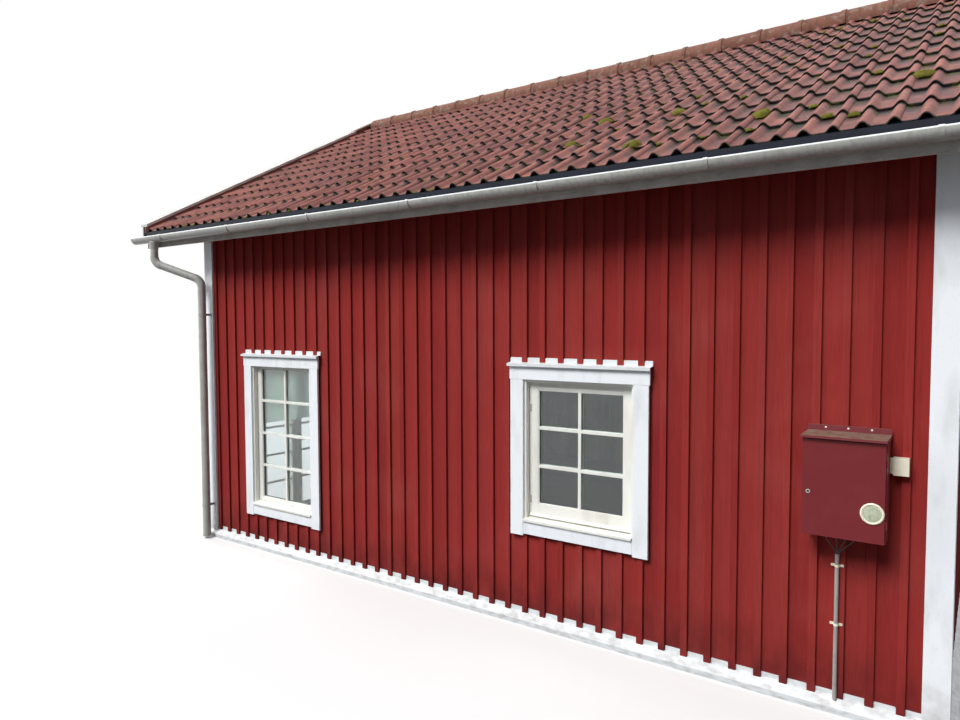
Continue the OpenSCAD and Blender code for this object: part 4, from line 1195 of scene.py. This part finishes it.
def verges():
    """Planks over the edge of the tiles, in two lengths with a plumb cut at the ridge, and the boards
    that carry them."""
    planks, bare, barges, upstands = Shape(), Shape(), Shape(), Shape()
    foot = GUTTER_Z + 0.008
    barge_low = VERGE_RISE - BARGE_DEPTH
    foot_y = EAVE_Y - (foot - EAVE_Z - barge_low) / SLOPE
    for sx in (-1, 1):
        for sy in (-1, 1):
            plank_x = sorted((sx * (ROOF_X - 0.080), sx * (ROOF_X + 0.045)))
            barge_x = sorted((sx * ROOF_X, sx * (ROOF_X + 0.022)))
            for y0, y1, lengths in ((EAVE_Y, PLANK_JOINT, planks), (PLANK_JOINT - 0.003, 0.0015, bare)):
                line = [(sy * y, RIDGE_Z - y * SLOPE + VERGE_RISE) for y in (y0, y1)]
                lengths.prism(line + [(y, z + PLANK_T) for y, z in reversed(line)], *plank_x, "x")
            upstand_x = sorted((sx * (ROOF_X - 0.054), sx * (ROOF_X - 0.040)))
            line = [(sy * y, RIDGE_Z - y * SLOPE) for y in (EAVE_Y, 0.002)]
            upstand = [(y, z - 0.040) for y, z in line] + [(y, z + VERGE_RISE) for y, z in reversed(line)]
            upstands.prism(upstand, *upstand_x, "x")
            rim = RIDGE_Z + VERGE_RISE - 0.0002
            outline = [(0.001, rim), (EAVE_Y, rim - EAVE_Y * SLOPE), (EAVE_Y, foot), (foot_y, foot),
                       (0.001, rim - BARGE_DEPTH)]
            barges.prism([(sy * y, z) for y, z in outline], *barge_x, "x")
    piece(planks, "verge_plank_lengths", VERGE, replaces=["verge_planks"], bevel=0.002)
    piece(bare, "verge_ridge_lengths", BARE, bevel=0.002)
    piece(barges, "barge_board_lengths", VERGE, replaces=["barge_boards"], bevel=0.002)
    piece(upstands, "verge_upstands", TILE)


verges()
dress("fascias", VERGE, 0.002)
dress("eave_strips", STRIP, 0.0008)

# Rainwater goods


def band(y, r0, r1, first, last, count=24):
    """Section as (y, z) of a strip bent round a line at gutter height, between two angles in degrees."""
    arc = [math.radians(first + (last - first) * k / count) for k in range(count + 1)]
    outer = [(y + r1 * math.cos(a), GUTTER_Z + r1 * math.sin(a)) for a in arc]
    inner = [(y + r0 * math.cos(a), GUTTER_Z + r0 * math.sin(a)) for a in reversed(arc)]
    return outer + inner


def gutter_fittings():
    """What sits on the gutters: the sleeve of their joint, and the hook of each bracket round the lip."""
    bead = -GUTTER_Y - GUTTER_R + LIP_R
    sleeves, hooks = Shape(), Shape()
    for place in (Matrix(), Matrix.Scale(-1, 4, (0, 1, 0))):
        sleeves.place = hooks.place = place
        sleeve = band(-GUTTER_Y, GUTTER_R - 0.001, GUTTER_R + 0.002, -180, 0)
        sleeves.prism(sleeve, SLEEVE_AT - SLEEVE_L / 2, SLEEVE_AT + SLEEVE_L / 2, "x")
        for i in range(7):
            x = BRACKET_AT - i * BRACKET_PITCH
            hook = band(bead, LIP_R, LIP_R + 0.0038, -20, 200, 12)
            hooks.prism(hook, x - BRACKET_W / 2, x + BRACKET_W / 2, "x")
            for thick, first, last in ((0.0036, -178, -158), (0.0075, -160, -122)):
                strap = band(-GUTTER_Y, GUTTER_R + 0.0002, GUTTER_R + thick, first, last, 8)
                hooks.prism(strap, x - BRACKET_W / 2, x + BRACKET_W / 2, "x")
    piece(sleeves, "gutter_sleeves", STEEL_WHITE, sharp=40)
    piece(hooks, "bracket_hooks", STEEL_WHITE, sharp=40)


gutter_fittings()
for name in ("front_gutter", "back_gutter", "gutter_brackets", "front_downpipe", "back_downpipe", "pipe_clips"):
    dress(name, STEEL_WHITE)

# Meter cabinet


def hood():
    """Rain hood of one folded sheet: a flange up the wall, a top that falls outwards and a lip."""
    shape = Shape(FRONT.place)
    top = CABINET_HIGH.z
    out = -CABINET_D - 0.024
    section = [(0, top), (0, top + 0.060), (-0.004, top + 0.060), (-0.004, top + 0.024), (out, top + 0.020),
               (out, top + 0.004), (out + 0.004, top + 0.004), (out + 0.004, top + 0.016), (-CABINET_BOX, top + 0.016),
               (-CABINET_BOX, top)]
    shape.prism(section, CABINET_LEFT - 0.006, CABINET_RIGHT + 0.006, "x")
    piece(shape, "folded_hood", HOOD, replaces=["cabinet_hood"], bevel=0.0012)
    screws = Shape(FRONT.place)
    for x in (2.914, 3.040, 3.167):
        screws.turned((x, -0.0035, top + 0.045), (0, -1, 0), [(0, 0.0065), (0.0015, 0.0065), (0.0035, 0.0045), (0.0045, 0.0015)], 16)
    piece(screws, "hood_screws", CREAM, sharp=50)


def door_fittings():
    """Round reading window with its rim, and the lock, on the cabinet door."""
    face = -FRONT_FACE - CABINET_D
    low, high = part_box("reading_window")
    x, z = (low.x + high.x) / 2, (low.z + high.z) / 2
    rim = Shape()
    rim.turned((x, face + 0.001, z), (0, -1, 0),
               [(0, 0.062), (0.004, 0.0635), (0.008, 0.061), (0.0095, 0.057), (0.0085, 0.053), (0.005, 0.0505)], 64)
    piece(rim, "reading_rim", CREAM, body="meter_door", replaces=["reading_window"], sharp=40)
    glass = Shape()
    glass.turned((x, face + 0.016, z), (0, -1, 0), [(0, 0.0495), (0.020, 0.0495), (0.0215, 0.040), (0.0225, 0.020)], 64)
    piece(glass, "reading_glass", READING, body="meter_door", sharp=40)
    low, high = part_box("cabinet_lock")
    x, z = (low.x + high.x) / 2, (low.z + high.z) / 2
    lock = Shape()
    lock.turned((x, face + 0.001, z), (0, -1, 0), [(0, 0.0125), (0.005, 0.0125), (0.007, 0.011), (0.007, 0.0075), (0.003, 0.0070)], 32)
    piece(lock, "lock_ring", STEEL, body="meter_door", replaces=["cabinet_lock"], sharp=40)
    key = Shape()
    key.turned((x, face, z), (0, -1, 0), [(0, 0.0070), (0.0045, 0.0070), (0.0052, 0.0050)], 24)
    piece(key, "lock_core", BRASS, body="meter_door", sharp=40)


def clips():
    """Saddle clips of the conduit: a band round it and an ear each side with its screw."""
    shape, screws = Shape(FRONT.place), Shape(FRONT.place)
    y = CONDUIT_Y + FRONT_FACE
    low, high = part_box("conduit_clips")
    for z in (low.z + 0.002, high.z - 0.018):
        arc = [math.radians(180 + 180 * k / 16) for k in range(17)]
        band = [(CONDUIT_X + (CONDUIT_R + 0.002) * math.cos(a), y + (CONDUIT_R + 0.002) * math.sin(a)) for a in arc]
        inner = [(CONDUIT_X + CONDUIT_R * math.cos(a), y + CONDUIT_R * math.sin(a)) for a in reversed(arc)]
        reach, tab = 0.036, -0.003
        ears_right = [(CONDUIT_X + CONDUIT_R + 0.002, tab), (CONDUIT_X + reach, tab), (CONDUIT_X + reach, 0.0), (CONDUIT_X + CONDUIT_R, 0.0)]
        ears_left = [(2 * CONDUIT_X - x, v) for x, v in reversed(ears_right)]
        shape.prism(band + ears_right + inner + ears_left, z, z + 0.016, "z")
        for side in (-1, 1):
            screws.turned((CONDUIT_X + side * 0.027, tab, z + 0.008), (0, -1, 0), [(0, 0.004), (0.0012, 0.0035), (0.0018, 0.001)], 12)
    piece(shape, "saddle_clips", CREAM, replaces=["conduit_clips"], sharp=40)
    piece(screws, "clip_screws", STEEL, sharp=50)


hood()
door_fittings()
clips()
for name in ("meter_cabinet", "cabinet_door"):
    dress(name, MAROON, 0.0015)
dress("junction_box", CREAM, 0.003)
dress("cable_conduit", CONDUIT)

# Stage: light and floor


def lamp(name, azimuth, elevation, spread, strength):
    """A large soft lamp far off. azimuth is counted from straight in front towards the lake end."""
    made = bpy.data.objects.new(name, bpy.data.lights.new(name, "SUN"))
    made.data.angle = math.radians(spread)
    made.data.energy = strength
    a = math.radians(azimuth)
    e = math.radians(elevation)
    towards = Vector((-math.sin(a) * math.cos(e), -math.cos(a) * math.cos(e), math.sin(e)))
    made.rotation_euler = towards.to_track_quat("Z", "Y").to_euler()
    bpy.context.scene.collection.objects.link(made)


def surroundings(strength):
    """Even light from all round, and plain white for what looks past the house."""
    world = bpy.data.worlds.new("surroundings")
    world.use_nodes = True
    bpy.context.scene.world = world
    tree = world.node_tree
    rays = node(tree, "ShaderNodeLightPath").outputs
    seen = node(tree, "ShaderNodeMath", {0: rays["Is Camera Ray"], 1: rays["Is Glossy Ray"]}, operation="MAXIMUM")
    seen = node(tree, "ShaderNodeMath", {0: seen.outputs[0], 1: rays["Is Transmission Ray"]}, operation="MAXIMUM")
    light = node(tree, "ShaderNodeMapRange", {"Value": seen.outputs[0], "To Min": strength, "To Max": 1.0})
    tone = {"Factor": seen.outputs[0], "A": linear("#DEE7FF"), "B": (1, 1, 1, 1)}
    mixed = node(tree, "ShaderNodeMix", tone, data_type="RGBA")
    background = tree.nodes["Background"]
    tree.links.new(light.outputs["Result"], background.inputs["Strength"])
    tree.links.new(mixed.outputs["Result"], background.inputs["Color"])


def ground():
    """Plain floor, pale to the camera and in glass, and fading to the white of the backdrop; grey to
    other rays, so that it throws little light back up under the eaves."""
    shape = Shape()
    shape.turned((0, 0, -0.2), (0, 0, 1), [(0, 120), (0.2, 120)], 96)
    mesh = bpy.data.meshes.new("ground")
    mesh.from_pydata(shape.points, [], shape.faces)
    made = bpy.data.objects.new("ground", mesh)
    bpy.context.scene.collection.objects.link(made)
    material, tree, shader, place = start("pale_floor", 0.9, 0.2)
    rays = node(tree, "ShaderNodeLightPath").outputs
    seen = node(tree, "ShaderNodeMath", {0: rays["Is Camera Ray"], 1: rays["Is Glossy Ray"]}, operation="MAXIMUM")
    seen = node(tree, "ShaderNodeMath", {0: seen.outputs[0], 1: rays["Is Transmission Ray"]}, operation="MAXIMUM")
    tone = {"Factor": seen.outputs[0], "A": linear("#4C4C4A"), "B": linear("#E6E6E4")}
    mixed = node(tree, "ShaderNodeMix", tone, data_type="RGBA")
    tree.links.new(mixed.outputs["Result"], shader.inputs["Base Color"])
    away = node(tree, "ShaderNodeVectorMath", {0: place}, operation="LENGTH").outputs["Value"]
    fade = node(tree, "ShaderNodeMapRange", {"Value": away, "From Min": 7.0, "From Max": 24.0}, interpolation_type="SMOOTHSTEP")
    both = {0: fade.outputs["Result"], 1: rays["Is Camera Ray"]}
    share = node(tree, "ShaderNodeMath", both, operation="MULTIPLY").outputs["Value"]
    white = node(tree, "ShaderNodeEmission", {"Color": (1, 1, 1, 1), "Strength": 1.0})
    final = node(tree, "ShaderNodeMixShader", {0: share, 1: shader.outputs[0], 2: white.outputs[0]})
    tree.links.new(final.outputs[0], tree.nodes["Material Output"].inputs["Surface"])
    mesh.materials.append(material)


bpy.context.scene.view_settings.view_transform = "Standard"
lamp("key", 14, 47, 26, 3.5)
lamp("lake_fill", 82, 25, 50, 1.9)
lamp("back_fill", 200, 40, 60, 1.0)
surroundings(0.23)
ground()
